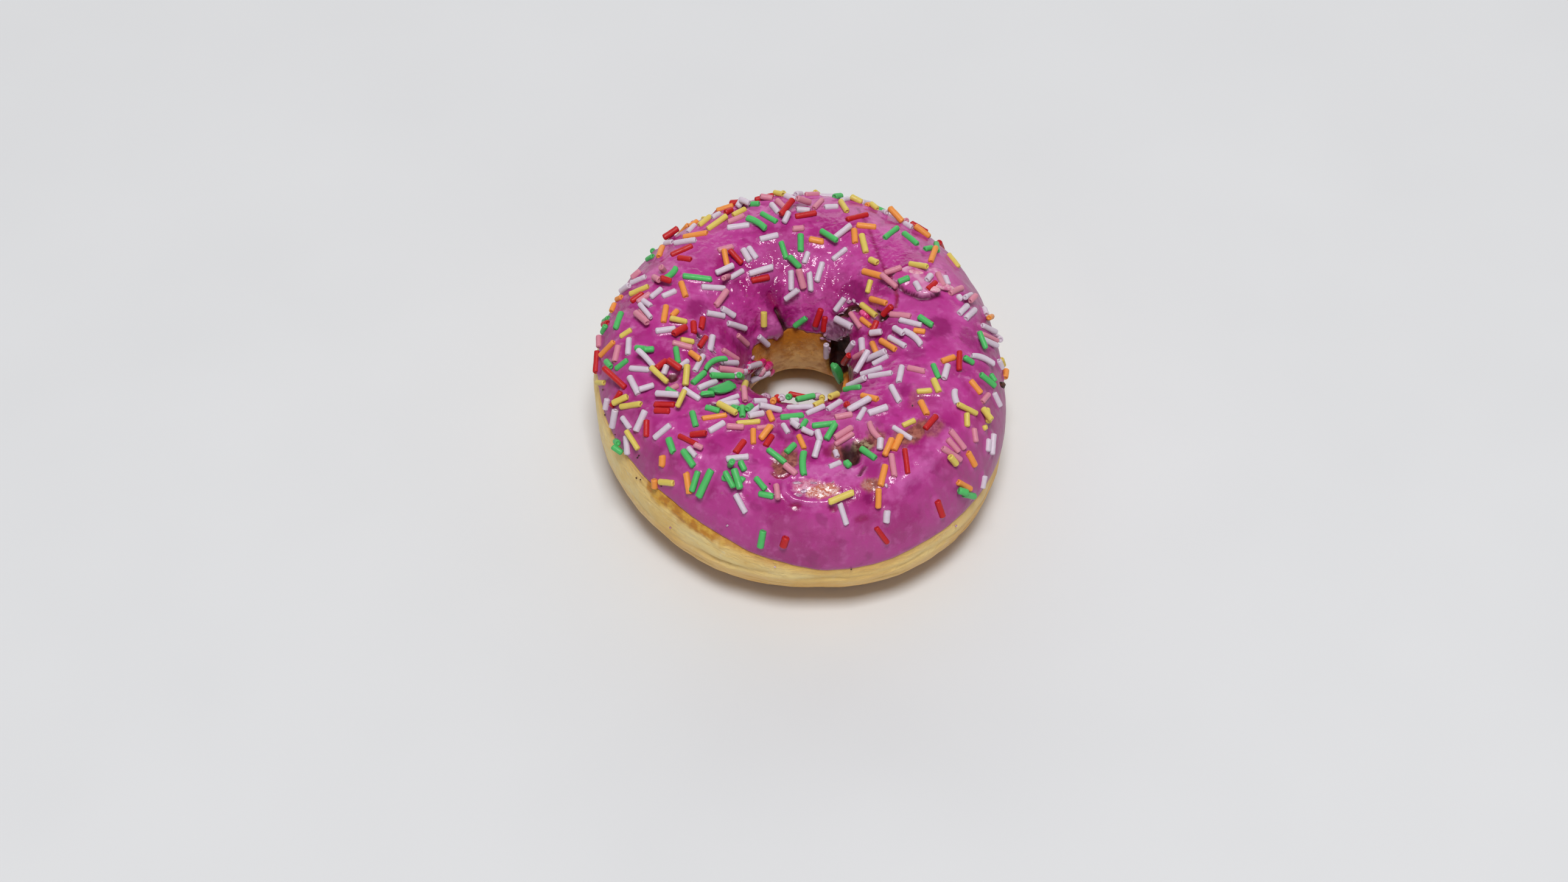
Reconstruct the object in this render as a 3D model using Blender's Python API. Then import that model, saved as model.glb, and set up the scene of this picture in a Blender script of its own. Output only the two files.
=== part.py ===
"""Ring doughnut of raised dough with a coat of set icing over its upper half.

Metres, +Z up. The origin is on the surface the doughnut rests on, under the
middle of its outline. Two bodies: the dough ring and the icing that wraps it.

A point of the ring is given by two angles: `angle` goes round the ring, from
+X towards +Y, and `turn` goes round the ring's section, from the outermost
point (0) over the crest (90) to the point nearest the hole (180).
"""

import math

import bmesh
import bpy

MM = 0.001

# Driving sizes, in millimetres.
OUTER_RADIUS = 45.9        # mean distance from the ring's centre to its outer side
HOLE_RADIUS = 10.8         # mean distance from the ring's centre to the hole's wall
HEIGHT = 32.0
WAIST_HEIGHT = 14.4        # height at which the ring is widest
SINK = 0.6                 # how far the rounded underside is pressed flat
CROWN_POWER = 2.25         # 2 is a plain ellipse; more is squarer
BASE_POWER = 2.5

ICING_THICK = 1.1
ICING_EDGE_THICK = 0.55
ICING_EDGE_ROUND = 2.2     # width of the rounded margin
GAP = 0.3                  # between the icing and the dough
DOUGH_RECOVER = 5.0        # below the icing the dough swells out to full size over this

# A hand-stretched ring is neither round nor even. Each swell is
# (times per round, height, angle at which one of its crests lies).
OUTER_SWELLS = ((2, 3.3, 97.0),    # the ring is longer from front to back
                (3, 0.8, 62.0))    # and a little three-sided
HOLE_SWELLS = ((1, 1.1, 163.0),)   # the hole lies off the middle
CREST_SWELLS = ((1, 0.85, 90.0), (3, 0.3, 10.0), (5, 0.3, 27.0))

# The turn at which the icing ends, in degrees: on the outer side, and in the hole.
# It hangs lower on one side, as the ring was dipped at a slant, and sways as it ran.
OUTER_EDGE = 9.6
OUTER_EDGE_SWELLS = ((1, 10.0, 175.0), (2, 3.5, 31.0), (4, 1.7, 35.0), (5, 2.8, 24.0))
HOLE_EDGE = 178.5
HOLE_EDGE_SWELLS = ((1, 6.0, 270.0), (2, 4.5, 0.0), (5, 1.0, -11.0))

# Dents (and, below zero, lumps) of the surface:
# (angle, turn, width along the ring, width round the section, depth).
DENTS = (
    (27.0, 128.0, 4.5, 2.2, 1.6),     # torn hollow beside the hole
    (42.0, 181.0, 2.2, 4.0, 1.8),     # crevice down the hole's wall
    (285.0, 80.0, 6.5, 3.2, 1.3),     # pit in the front of the crest
    (310.0, 78.0, 6.0, 4.0, 0.7),
    (266.0, 80.0, 7.0, 4.5, 0.6),
    (278.0, 60.0, 13.0, 4.0, -0.7),   # shoulder in front of the pit
    (311.0, 56.0, 8.0, 3.5, -0.7),
    (24.0, 88.0, 5.0, 3.2, -0.6),     # broken lump on the crest
    (112.0, 156.0, 2.6, 4.0, -0.8),   # drip at the back of the hole
    (101.0, 158.0, 1.6, 4.0, 0.8),    # cleft beside the drip
    (182.0, 124.0, 4.0, 3.0, 0.8),    # torn hollow left of the hole
    (226.0, 100.0, 5.0, 4.0, 0.5),
)

# Mesh fineness
RING_STEPS = 96
SIDE_ROWS = 7              # from the icing's edge down to the flat underside
COVERED_ROWS = 8           # dough rows hidden under the icing
COAT_ROWS = 15             # rows over the icing's top
FLAT_HALF_TURN = 9.0       # the flat underside reaches this far either side of straight down


def wave(base, swells, angle):
    """A value that varies round the ring."""
    return base + sum(high * math.cos(n * (angle - math.radians(at))) for n, high, at in swells)


def power(value, exponent):
    return math.copysign(abs(value) ** (2.0 / exponent), value)


def section_sizes(angle):
    outer = wave(OUTER_RADIUS, OUTER_SWELLS, angle)
    hole = wave(HOLE_RADIUS, HOLE_SWELLS, angle)
    return (outer + hole) / 2, (outer - hole) / 2, wave(HEIGHT, CREST_SWELLS, angle)


def ring_point(angle, turn, inset=0.0):
    """(radial, up) of the surface, moved inwards by inset along the section's normal."""
    middle, half, height = section_sizes(angle)
    c, s = math.cos(turn), math.sin(turn)
    if s >= 0:
        exponent, reach = CROWN_POWER, height - WAIST_HEIGHT
    else:
        exponent, reach = BASE_POWER, WAIST_HEIGHT + SINK
    across = half * power(c, exponent)
    up = reach * power(s, exponent)
    # The gradient of the section's power curve is its outward normal.
    nx = math.copysign(abs(across / half) ** (exponent - 1), across) / half
    nz = math.copysign(abs(up / reach) ** (exponent - 1), up) / reach
    size = math.hypot(nx, nz) or 1.0
    push = inset + dent_depth(angle, turn, middle + across, (half + reach) / 2)
    return (middle + across - push * nx / size,
            max(WAIST_HEIGHT + up - push * nz / size, 0.0))


def dent_depth(angle, turn, radius, section_radius):
    depth = 0.0
    for at_angle, at_turn, along, around, deep in DENTS:
        da = math.remainder(angle - math.radians(at_angle), math.tau) * radius / along
        dt = math.remainder(turn - math.radians(at_turn), math.tau) * section_radius / around
        depth += deep * math.exp(-(da * da + dt * dt) / 2)
    return depth


def edges(angle):
    return (math.radians(wave(OUTER_EDGE, OUTER_EDGE_SWELLS, angle)),
            math.radians(wave(HOLE_EDGE, HOLE_EDGE_SWELLS, angle)))


def spread(start, end, count):
    """count values from start to end, both included."""
    return [start + (end - start) * k / (count - 1) for k in range(count)]


def dough_section(angle):
    outer, hole = edges(angle)
    _, half, height = section_sizes(angle)
    section_radius = (half + height / 2) / 2
    flat = math.radians(FLAT_HALF_TURN)
    rows = []
    under = ICING_THICK + GAP
    at_edge = ICING_EDGE_THICK + GAP

    def exposed(turn, edge):
        away = abs(turn - edge) * section_radius / DOUGH_RECOVER
        return at_edge * max(0.0, 1.0 - away) ** 2

    for turn in spread(outer, -math.pi / 2 + flat, SIDE_ROWS):
        rows.append((turn, exposed(turn, outer)))
    for turn in spread(-math.pi / 2 - flat, hole - math.tau, SIDE_ROWS):
        rows.append((turn, exposed(turn, hole - math.tau)))
    for turn in spread(hole, outer, COVERED_ROWS + 2)[1:-1]:
        rows.append((turn, under))
    return [ring_point(angle, turn, inset) for turn, inset in rows]


def icing_section(angle):
    outer, hole = edges(angle)
    _, half, height = section_sizes(angle)
    section_radius = (half + height / 2) / 2
    rows = []
    for k in range(COAT_ROWS):
        # Rows crowd towards the two margins, which are rounded over.
        t = (1 - math.cos(math.pi * k / (COAT_ROWS - 1))) / 2
        t = 0.35 * t + 0.65 * k / (COAT_ROWS - 1)
        turn = outer + (hole - outer) * t
        away = min(turn - outer, hole - turn) * section_radius / ICING_EDGE_ROUND
        rounding = 1.0 - math.sqrt(max(0.0, 1.0 - (1.0 - min(away, 1.0)) ** 2))
        rows.append((turn, (ICING_EDGE_THICK * 0.55) * rounding))
    for k, turn in enumerate(spread(hole, outer, COVERED_ROWS + 2)):
        edge = k in (0, COVERED_ROWS + 1)
        rows.append((turn, ICING_EDGE_THICK if edge else ICING_THICK))
    return [ring_point(angle, turn, inset) for turn, inset in rows]


def outline_middle():
    """The middle of the outline, so that the origin is under it."""
    xs, ys = [], []
    for k in range(RING_STEPS):
        angle = math.tau * k / RING_STEPS
        for across, _ in dough_section(angle) + icing_section(angle):
            xs.append(across * math.cos(angle))
            ys.append(across * math.sin(angle))
    return (min(xs) + max(xs)) / 2, (min(ys) + max(ys)) / 2


def ring_object(name, section, middle, material):
    """Sets one closed section after another round the ring and bridges them."""
    bm = bmesh.new()
    loops = []
    for k in range(RING_STEPS):
        angle = math.tau * k / RING_STEPS
        loops.append([bm.verts.new(((across * math.cos(angle) - middle[0]) * MM,
                                    (across * math.sin(angle) - middle[1]) * MM,
                                    up * MM))
                      for across, up in section(angle)])
    count = len(loops[0])
    for k, here in enumerate(loops):
        there = loops[(k + 1) % RING_STEPS]
        for j in range(count):
            n = (j + 1) % count
            bm.faces.new((here[j], here[n], there[n], there[j]))
    bmesh.ops.recalc_face_normals(bm, faces=bm.faces)
    mesh = bpy.data.meshes.new(name)
    bm.to_mesh(mesh)
    bm.free()
    mesh.shade_smooth()
    mesh.materials.append(material)
    obj = bpy.data.objects.new(name, mesh)
    bpy.context.scene.collection.objects.link(obj)
    return obj


def surface(name, colour, roughness):
    material = bpy.data.materials.new(name)
    material.use_nodes = True
    shader = material.node_tree.nodes["Principled BSDF"]
    shader.inputs["Base Color"].default_value = (*colour, 1.0)
    shader.inputs["Roughness"].default_value = roughness
    shader.inputs["Metallic"].default_value = 0.0
    return material


def main():
    for obj in list(bpy.data.objects):
        bpy.data.objects.remove(obj, do_unlink=True)
    crust = surface("baked_dough", (0.62, 0.36, 0.12), 0.6)
    glaze = surface("set_icing", (0.42, 0.05, 0.25), 0.3)
    middle = outline_middle()
    ring_object("dough", dough_section, middle, crust)
    ring_object("icing", icing_section, middle, glaze)


main()
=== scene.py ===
"""Looks of a sprinkle frosted doughnut: fine surfaces for the dough ring and its
icing coat, and the sugar sprinkles scattered over it.

A place on the ring is given by two angles in degrees. `angle` goes round the ring
from +X to +Y, and `turn` goes round its section, from the outermost point (0) over
the crest (90) to the point nearest the hole (180). Lengths are in millimetres until
a mesh is made.
"""

import bmesh
import bpy
import numpy as np
from mathutils import Matrix, Vector


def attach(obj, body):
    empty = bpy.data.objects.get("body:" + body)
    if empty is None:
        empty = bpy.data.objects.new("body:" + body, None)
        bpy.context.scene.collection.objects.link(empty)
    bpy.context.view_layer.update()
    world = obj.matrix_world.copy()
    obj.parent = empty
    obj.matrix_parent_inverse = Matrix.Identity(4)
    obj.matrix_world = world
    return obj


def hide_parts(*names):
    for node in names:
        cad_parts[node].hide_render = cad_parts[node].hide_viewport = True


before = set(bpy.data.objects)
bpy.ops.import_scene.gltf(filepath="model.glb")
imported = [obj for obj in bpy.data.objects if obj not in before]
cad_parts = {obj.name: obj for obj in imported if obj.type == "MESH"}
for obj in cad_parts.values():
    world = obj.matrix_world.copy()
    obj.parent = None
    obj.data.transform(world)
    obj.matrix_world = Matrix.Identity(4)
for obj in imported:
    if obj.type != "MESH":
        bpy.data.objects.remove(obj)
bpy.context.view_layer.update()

TAU = 2 * np.pi
MM = 0.001
rad = np.radians

# ---------------------------------------------------------------- the ring's form
OUTER_RADIUS, HOLE_RADIUS, HEIGHT = 45.9, 10.8, 32.0
WAIST_HEIGHT, SINK = 14.4, 0.6
CROWN_POWER, BASE_POWER = 2.25, 2.5
ICING_THICK, ICING_EDGE_THICK, GAP = 1.1, 0.55, 0.3
# Each swell is (times per round, height, angle at which one of its crests lies)
OUTER_SWELLS = ((2, 3.3, 97.0), (3, 0.8, 62.0))
HOLE_SWELLS = ((1, 1.1, 163.0),)
CREST_SWELLS = ((1, 0.85, 90.0), (3, 0.3, 10.0), (5, 0.3, 27.0))
OUTER_EDGE, HOLE_EDGE = 9.6, 178.5
OUTER_EDGE_SWELLS = ((1, 10.0, 175.0), (2, 3.5, 31.0), (4, 1.7, 35.0), (5, 2.8, 24.0))
HOLE_EDGE_SWELLS = ((1, 6.0, 270.0), (2, 4.5, 0.0), (5, 1.0, -11.0))
# angle, turn, width along the ring, width round the section, depth
DENTS = (
    (27.0, 128.0, 4.5, 2.2, 1.6), (42.0, 181.0, 2.2, 4.0, 1.8), (285.0, 80.0, 6.5, 3.2, 1.3),
    (310.0, 78.0, 6.0, 4.0, 0.7), (266.0, 80.0, 7.0, 4.5, 0.6), (278.0, 60.0, 13.0, 4.0, -0.7),
    (311.0, 56.0, 8.0, 3.5, -0.7), (24.0, 88.0, 5.0, 3.2, -0.6), (112.0, 156.0, 2.6, 4.0, -0.8),
    (101.0, 158.0, 1.6, 4.0, 0.8), (182.0, 124.0, 4.0, 3.0, 0.8), (226.0, 100.0, 5.0, 4.0, 0.5),
)


def wave(base, swells, angle):
    out = np.full_like(np.asarray(angle, float), base)
    for n, high, at in swells:
        out = out + high * np.cos(n * (angle - rad(at)))
    return out


def power(value, exponent):
    return np.sign(value) * np.abs(value) ** (2.0 / exponent)


def round_off(x):
    """An angle's difference brought to between -pi and pi."""
    return (x + np.pi) % TAU - np.pi


def spot(angle, turn, at_angle, at_turn, along, around, heading=0.0):
    """Squared distance from a place, in units of the two widths, on the surface."""
    outer, hole, height = ring_sizes(angle)
    radius = (outer + hole) / 2 + (outer - hole) / 2 * np.cos(rad(at_turn))
    around_radius = ((outer - hole) / 2 + height / 2) / 2
    u = round_off(angle - rad(at_angle)) * radius
    v = round_off(turn - rad(at_turn)) * around_radius
    c, s = np.cos(rad(heading)), np.sin(rad(heading))
    return ((c * u + s * v) / along) ** 2 + ((c * v - s * u) / around) ** 2


def ring_sizes(angle):
    return (wave(OUTER_RADIUS, OUTER_SWELLS, angle), wave(HOLE_RADIUS, HOLE_SWELLS, angle),
            wave(HEIGHT, CREST_SWELLS, angle))


def section(angle, turn, inset):
    """(radial, up) of the surface, moved inwards by inset along the section's normal."""
    outer, hole, height = ring_sizes(angle)
    middle, half = (outer + hole) / 2, (outer - hole) / 2
    c, s = np.cos(turn), np.sin(turn)
    upper = s >= 0
    exponent = np.where(upper, CROWN_POWER, BASE_POWER)
    reach = np.where(upper, height - WAIST_HEIGHT, WAIST_HEIGHT + SINK)
    across = half * power(c, exponent)
    up = reach * power(s, exponent)
    nx = np.sign(across) * np.abs(across / half) ** (exponent - 1) / half
    nz = np.sign(up) * np.abs(up / reach) ** (exponent - 1) / reach
    size = np.maximum(np.hypot(nx, nz), 1e-9)
    push = inset + dent_depth(angle, turn, middle + across, (half + reach) / 2)
    return middle + across - push * nx / size, WAIST_HEIGHT + up - push * nz / size


def dent_depth(angle, turn, radius, section_radius):
    depth = 0.0
    for at_angle, at_turn, along, around, deep in DENTS:
        da = round_off(angle - rad(at_angle)) * radius / along
        dt = round_off(turn - rad(at_turn)) * section_radius / around
        depth = depth + deep * np.exp(-(da * da + dt * dt) / 2)
    return depth


def ring(angle, turn, inset=0.0):
    angle, turn = np.broadcast_arrays(np.asarray(angle, float), np.asarray(turn, float))
    across, up = section(angle, turn, inset)
    return np.stack([across * np.cos(angle), across * np.sin(angle), up], -1)


def unit(v):
    return v / np.maximum(np.linalg.norm(v, axis=-1, keepdims=True), 1e-12)


def ring_frame(angle, turn):
    """Point, direction round the ring, direction up the section, outward normal."""
    step = 2e-3
    point = ring(angle, turn)
    a = unit(ring(angle + step, turn) - ring(angle - step, turn))
    b = unit(ring(angle, turn + step) - ring(angle, turn - step))
    n = unit(np.cross(a, b))
    return point, a, np.cross(n, a), n


def edges(angle):
    return (rad(wave(OUTER_EDGE, OUTER_EDGE_SWELLS, angle)),
            rad(wave(HOLE_EDGE, HOLE_EDGE_SWELLS, angle)))


# The ring's centre lies off the outline's middle, over which the row's origin is.
_round = np.linspace(0, TAU, 720, endpoint=False)
_outline = ring(_round, np.zeros(720))
MIDDLE = np.array([*(_outline.min(0) + _outline.max(0))[:2] / 2, 0.0])


# ---------------------------------------------------------------- noise
def grid_noise(p, seed=0):
    """Smooth gradient noise of points (..., 3), about -1 to 1."""
    p = np.asarray(p, float)
    cell = np.floor(p).astype(np.int64)
    f = p - cell
    u = f * f * f * (f * (f * 6 - 15) + 10)
    total = 0.0
    for dx in (0, 1):
        for dy in (0, 1):
            for dz in (0, 1):
                h = ((cell[..., 0] + dx) * 73856093 ^ (cell[..., 1] + dy) * 19349663
                     ^ (cell[..., 2] + dz) * 83492791 ^ (seed + 1) * 2654435761)
                h = (h ^ (h >> 13)) * 1274126177 & 0xFFFFFFFF
                h ^= h >> 16
                gx = ((h & 1023) / 511.5) - 1
                gy = (((h >> 10) & 1023) / 511.5) - 1
                gz = (((h >> 20) & 1023) / 511.5) - 1
                w = (np.where(dx, u[..., 0], 1 - u[..., 0]) * np.where(dy, u[..., 1], 1 - u[..., 1])
                     * np.where(dz, u[..., 2], 1 - u[..., 2]))
                total = total + w * (gx * (f[..., 0] - dx) + gy * (f[..., 1] - dy)
                                     + gz * (f[..., 2] - dz))
    return total * 1.4


def fractal(p, size, seed=0, octaves=3, fall=0.5):
    total, weight = 0.0, 1.0
    for k in range(octaves):
        total = total + weight * grid_noise(p / size * 2 ** k, seed + 17 * k)
        weight *= fall
    return total


def smooth(x, low, high):
    t = np.clip((x - low) / (high - low), 0, 1)
    return t * t * (3 - 2 * t)


# ---------------------------------------------------------------- meshes
def make_object(name, points, quads, material, uv=None, fields=None, tris=None, flat=False):
    """A mesh from arrays: points in mm about the ring's centre, quads and tris as indices."""
    points = np.asarray(points, float).reshape(-1, 3)
    mesh = bpy.data.meshes.new(name)
    mesh.vertices.add(len(points))
    mesh.vertices.foreach_set("co", ((points - MIDDLE) * MM).astype(np.float32).ravel())
    quads = np.asarray(quads, np.int32).reshape(-1, 4)
    tris = np.zeros((0, 3), np.int32) if tris is None else np.asarray(tris, np.int32).reshape(-1, 3)
    loops = np.concatenate([quads.ravel(), tris.ravel()])
    starts = np.concatenate([np.arange(len(quads)) * 4, len(quads) * 4 + np.arange(len(tris)) * 3])
    mesh.loops.add(len(loops))
    mesh.loops.foreach_set("vertex_index", loops)
    mesh.polygons.add(len(starts))
    mesh.polygons.foreach_set("loop_start", starts.astype(np.int32))
    mesh.update(calc_edges=True)
    if uv is not None:
        layer = mesh.uv_layers.new(name="OFBake")
        layer.data.foreach_set("uv", np.asarray(uv, np.float32).ravel())
    for field, values in (fields or {}).items():
        layer = mesh.attributes.new(field, "FLOAT", "POINT")
        layer.data.foreach_set("value", np.asarray(values, np.float32).ravel())
    mesh.validate()
    if not flat:
        mesh.shade_smooth()
    mesh.materials.append(material)
    obj = bpy.data.objects.new(name, mesh)
    bpy.context.scene.collection.objects.link(obj)
    return obj


def grid_quads(rows, columns, wrap_rows=False, wrap_columns=False):
    """Quads of a grid whose points are stored row by row."""
    r = np.arange(rows if wrap_rows else rows - 1)
    c = np.arange(columns if wrap_columns else columns - 1)
    r, c = np.meshgrid(r, c, indexing="ij")
    r2, c2 = (r + 1) % rows, (c + 1) % columns
    return np.stack([r * columns + c, r2 * columns + c, r2 * columns + c2, r * columns + c2],
                    -1).reshape(-1, 4)


# ---------------------------------------------------------------- materials
class Tree:
    """A material's nodes, set up in few words."""

    def __init__(self, name):
        self.material = bpy.data.materials.new(name)
        self.material.use_nodes = True
        self.nodes = self.material.node_tree.nodes
        self.links = self.material.node_tree.links
        self.shader = self.nodes["Principled BSDF"]

    def put(self, socket, value):
        if isinstance(value, bpy.types.NodeSocket):
            self.links.new(value, socket)
        elif value is not None:
            socket.default_value = value

    def node(self, kind, **settings):
        node = self.nodes.new(kind)
        for key, value in settings.items():
            setattr(node, key, value)
        return node

    def field(self, name, vector=False):
        node = self.node("ShaderNodeAttribute", attribute_name=name)
        return node.outputs["Vector" if vector else "Fac"]

    def place(self):
        return self.node("ShaderNodeTexCoord").outputs["Object"]

    def math(self, operation, a, b=None, c=None, clamp=False):
        node = self.node("ShaderNodeMath", operation=operation, use_clamp=clamp)
        for socket, value in zip(node.inputs, (a, b, c)):
            self.put(socket, value)
        return node.outputs[0]

    def ramp(self, value, low, high, out_low=0.0, out_high=1.0):
        node = self.node("ShaderNodeMapRange", interpolation_type="SMOOTHSTEP")
        for socket, v in zip(node.inputs, (value, low, high, out_low, out_high)):
            self.put(socket, v)
        return node.outputs[0]

    def noise(self, where, size, detail=3.0, roughness=0.55, distortion=0.0, stretch=None):
        """Noise, about 0.3 to 0.7, with features of the given size in metres."""
        if stretch:
            mapping = self.node("ShaderNodeMapping")
            self.put(mapping.inputs["Vector"], where)
            mapping.inputs["Scale"].default_value = stretch
            where = mapping.outputs[0]
        node = self.node("ShaderNodeTexNoise")
        self.put(node.inputs["Vector"], where)
        node.inputs["Scale"].default_value = 1.0 / size
        node.inputs["Detail"].default_value = detail
        node.inputs["Roughness"].default_value = roughness
        node.inputs["Distortion"].default_value = distortion
        return node.outputs["Fac"]

    def mix(self, factor, a, b, blend="MIX"):
        node = self.node("ShaderNodeMix", data_type="RGBA", blend_type=blend)
        self.put(node.inputs[0], factor)
        for socket, value in ((node.inputs[6], a), (node.inputs[7], b)):
            self.put(socket, (*value, 1.0) if isinstance(value, tuple) else value)
        return node.outputs[2]

    def bump(self, height, distance, strength=1.0, normal=None):
        node = self.node("ShaderNodeBump")
        node.inputs["Strength"].default_value = strength
        node.inputs["Distance"].default_value = distance
        self.put(node.inputs["Height"], height)
        self.put(node.inputs["Normal"], normal)
        return node.outputs[0]


def icing_material():
    t = Tree("set_icing")
    where, skin = t.place(), t.field("skin", vector=True)
    cloud = t.noise(where, 0.009, 3)
    mottle = t.noise(where, 0.0022, 3)
    grain = t.noise(where, 0.0005, 2)
    streak = t.noise(skin, 0.0012, 4, 0.6, stretch=(1.0, 1.0, 0.3))
    # The top: deep pink with clouds of more or less dye
    colour = t.mix(t.ramp(cloud, 0.36, 0.60), ICING_DEEP, ICING_PLAIN)
    colour = t.mix(t.math("MULTIPLY", t.ramp(mottle, 0.5, 0.72), 0.45), colour, ICING_PALE_AND_SHEEN)
    colour = t.mix(t.math("MULTIPLY", t.ramp(t.noise(where, 0.004, 2), 0.58, 0.7), 0.55), colour,
                   ICING_BLOTCH_AND_SHADE)
    # The skin of the sides is paler and greyer
    pale = t.math("MULTIPLY", t.field("pale"), t.ramp(streak, 0.3, 0.7, 0.55, 1.0))
    colour = t.mix(pale, colour, ICING_SKIN)
    # Painted sheen: lighter lilac laid where light glances off the icing
    painted_sheen = t.math("MULTIPLY", t.field("painted_sheen"), t.ramp(t.noise(where, 0.0028, 3), 0.36, 0.6, 0.45, 1.0))
    colour = t.mix(painted_sheen, colour, ICING_PALE_AND_SHEEN)
    milk = t.mix(t.ramp(t.noise(where, 0.004, 2), 0.46, 0.62), MILK_DEEP, MILK_PALE)
    colour = t.mix(t.field("milk"), colour, milk)
    # Darker blotches, and painted shade in creases, clefts and under broken edges
    colour = t.mix(t.field("blotch_and_shade"), colour, ICING_BLOTCH_AND_SHADE)
    # Painted highlight on the icing's rim round each sprinkle
    colour = t.mix(t.math("MULTIPLY", t.field("painted_rim_highlight"), 0.3), colour, ICING_PALE_AND_SHEEN)
    colour = t.mix(t.field("red"), colour, ICING_RED)
    torn = t.mix(t.ramp(t.noise(where, 0.0016, 4), 0.4, 0.62), ICING_TORN, ICING_TORN_PALE)
    colour = t.mix(t.field("torn"), colour, torn)
    fine = t.noise(where, 0.0011, 4)
    colour = t.mix(t.field("bare"), colour, t.mix(t.ramp(fine, 0.38, 0.66), BARE_DEEP, BARE_PLAIN))
    colour = t.mix(t.field("crumb"), colour, t.mix(t.ramp(fine, 0.4, 0.6), CRUMB_AND_SHADE_BROWN, CRUMB_PALE))
    sugar = t.mix(t.ramp(t.noise(where, 0.0009, 4, 0.7, 1.0), 0.44, 0.6), SUGAR_DEEP, SUGAR_PALE)
    colour = t.mix(t.field("sugar"), colour, sugar)
    # Painted shade in holes, cracks and the cavity: dark brown to near black
    deep = t.mix(t.ramp(mottle, 0.45, 0.65), HOLLOW_SHADE_DARK, CRUMB_AND_SHADE_BROWN)
    colour = t.mix(t.field("painted_hollow_shade"), colour, deep)
    t.put(t.shader.inputs["Base Color"], colour)
    rough = t.ramp(cloud, 0.35, 0.65, 0.13, 0.25)
    rough = t.math("ADD", rough, t.math("MULTIPLY", t.field("pale"), 0.2))
    rough = t.math("SUBTRACT", rough, t.math("MULTIPLY", t.field("wet"), 0.09), clamp=True)
    rough = t.math("SUBTRACT", rough, t.math("MULTIPLY", t.field("peel"), 0.05), clamp=True)
    rough = t.math("ADD", rough, t.math("MULTIPLY", t.field("painted_hollow_shade"), 0.5), clamp=True)
    t.put(t.shader.inputs["Roughness"], rough)
    # Pebbled like orange peel where it set while it flowed
    peel = t.math("MULTIPLY", t.noise(where, 0.0007, 2, 0.5), t.field("peel"))
    ripple = t.math("MULTIPLY", t.noise(where, 0.0014, 1, 0.4, 0.5), t.field("peel"))
    normal = t.bump(t.math("MULTIPLY", streak, t.field("pale")), 0.0002, 0.5)
    normal = t.bump(t.noise(where, 0.0013, 3, 0.6), 0.0003, 0.3, normal)
    normal = t.bump(ripple, 0.00045, 0.8, normal)
    normal = t.bump(peel, 0.0001, 0.9, normal)
    normal = t.bump(grain, 0.00006, 0.4, normal)
    t.put(t.shader.inputs["Normal"], normal)
    t.shader.inputs["IOR"].default_value = 1.46
    t.shader.inputs["Subsurface Weight"].default_value = 0.0
    return t.material


def dough_material():
    t = Tree("baked_dough")
    where, skin = t.place(), t.field("skin", vector=True)
    cloud = t.noise(where, 0.010, 4)
    layer = t.noise(skin, 0.005, 4, 0.5, 0.5, stretch=(0.4, 0.4, 1.0))
    crumb = t.noise(where, 0.0012, 4)
    grain = t.noise(where, 0.0004, 2)
    colour = t.mix(t.ramp(layer, 0.3, 0.62), DOUGH_STRAW, DOUGH_CREAM)
    colour = t.mix(t.math("MULTIPLY", t.ramp(cloud, 0.46, 0.7), 0.5), colour, DOUGH_GOLD)
    # Pale flakes and thin folds where the skin stretched as it rose
    flake = t.ramp(t.noise(skin, 0.0016, 4, 0.65, 0.5, stretch=(0.6, 0.6, 1.0)), 0.56, 0.72)
    colour = t.mix(t.math("MULTIPLY", flake, 0.45), colour, DOUGH_PALE)
    colour = t.mix(t.field("brown"), colour, DOUGH_BROWN)
    colour = t.mix(t.math("MULTIPLY", t.ramp(crumb, 0.55, 0.75), 0.4), colour, DOUGH_GOLD)
    wall = t.mix(t.ramp(t.noise(where, 0.005, 4, 0.65), 0.4, 0.6), DOUGH_HOLE_DEEP, DOUGH_HOLE)
    # Painted shade at the top of the hole's wall, under the icing's edge
    wall = t.mix(t.math("MULTIPLY", t.field("shade_under_icing"), 0.95), wall, DOUGH_SHADE_UNDER_ICING)
    colour = t.mix(t.field("hole"), colour, wall)
    amber = t.mix(t.ramp(t.noise(where, 0.002, 3), 0.4, 0.62), AMBER, AMBER_PALE)
    colour = t.mix(t.field("amber"), colour, amber)
    # Shallow wrinkles of the skin, and the deeper creases that the mesh holds
    wrinkle = t.ramp(t.noise(skin, 0.0022, 3, 0.6, 0.9, stretch=(0.3, 0.3, 1.0)), 0.3, 0.7)
    wrinkle = t.math("MULTIPLY", wrinkle, t.math("SUBTRACT", 1.0, t.field("hole")))
    # The deeper creases are painted darker as their shade
    fold = t.field("crease_shade")
    colour = t.mix(t.math("MULTIPLY", fold, 0.75), colour, DOUGH_FOLD_SHADE)
    # Painted shade in the cavity: dark brown to near black
    deep = t.mix(t.ramp(crumb, 0.4, 0.65), HOLLOW_SHADE_DARK, CRUMB_AND_SHADE_BROWN)
    colour = t.mix(t.field("painted_hollow_shade"), colour, deep)
    t.put(t.shader.inputs["Base Color"], colour)
    t.put(t.shader.inputs["Roughness"], t.ramp(cloud, 0.3, 0.7, 0.42, 0.58))
    normal = t.bump(layer, 0.0008, 0.5)
    normal = t.bump(wrinkle, 0.00025, 0.6, normal)
    normal = t.bump(flake, 0.0001, 0.5, normal)
    normal = t.bump(crumb, 0.0003, 0.6, normal)
    normal = t.bump(grain, 0.0001, 0.4, normal)
    t.put(t.shader.inputs["Normal"], normal)
    t.shader.inputs["IOR"].default_value = 1.4
    return t.material


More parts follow.
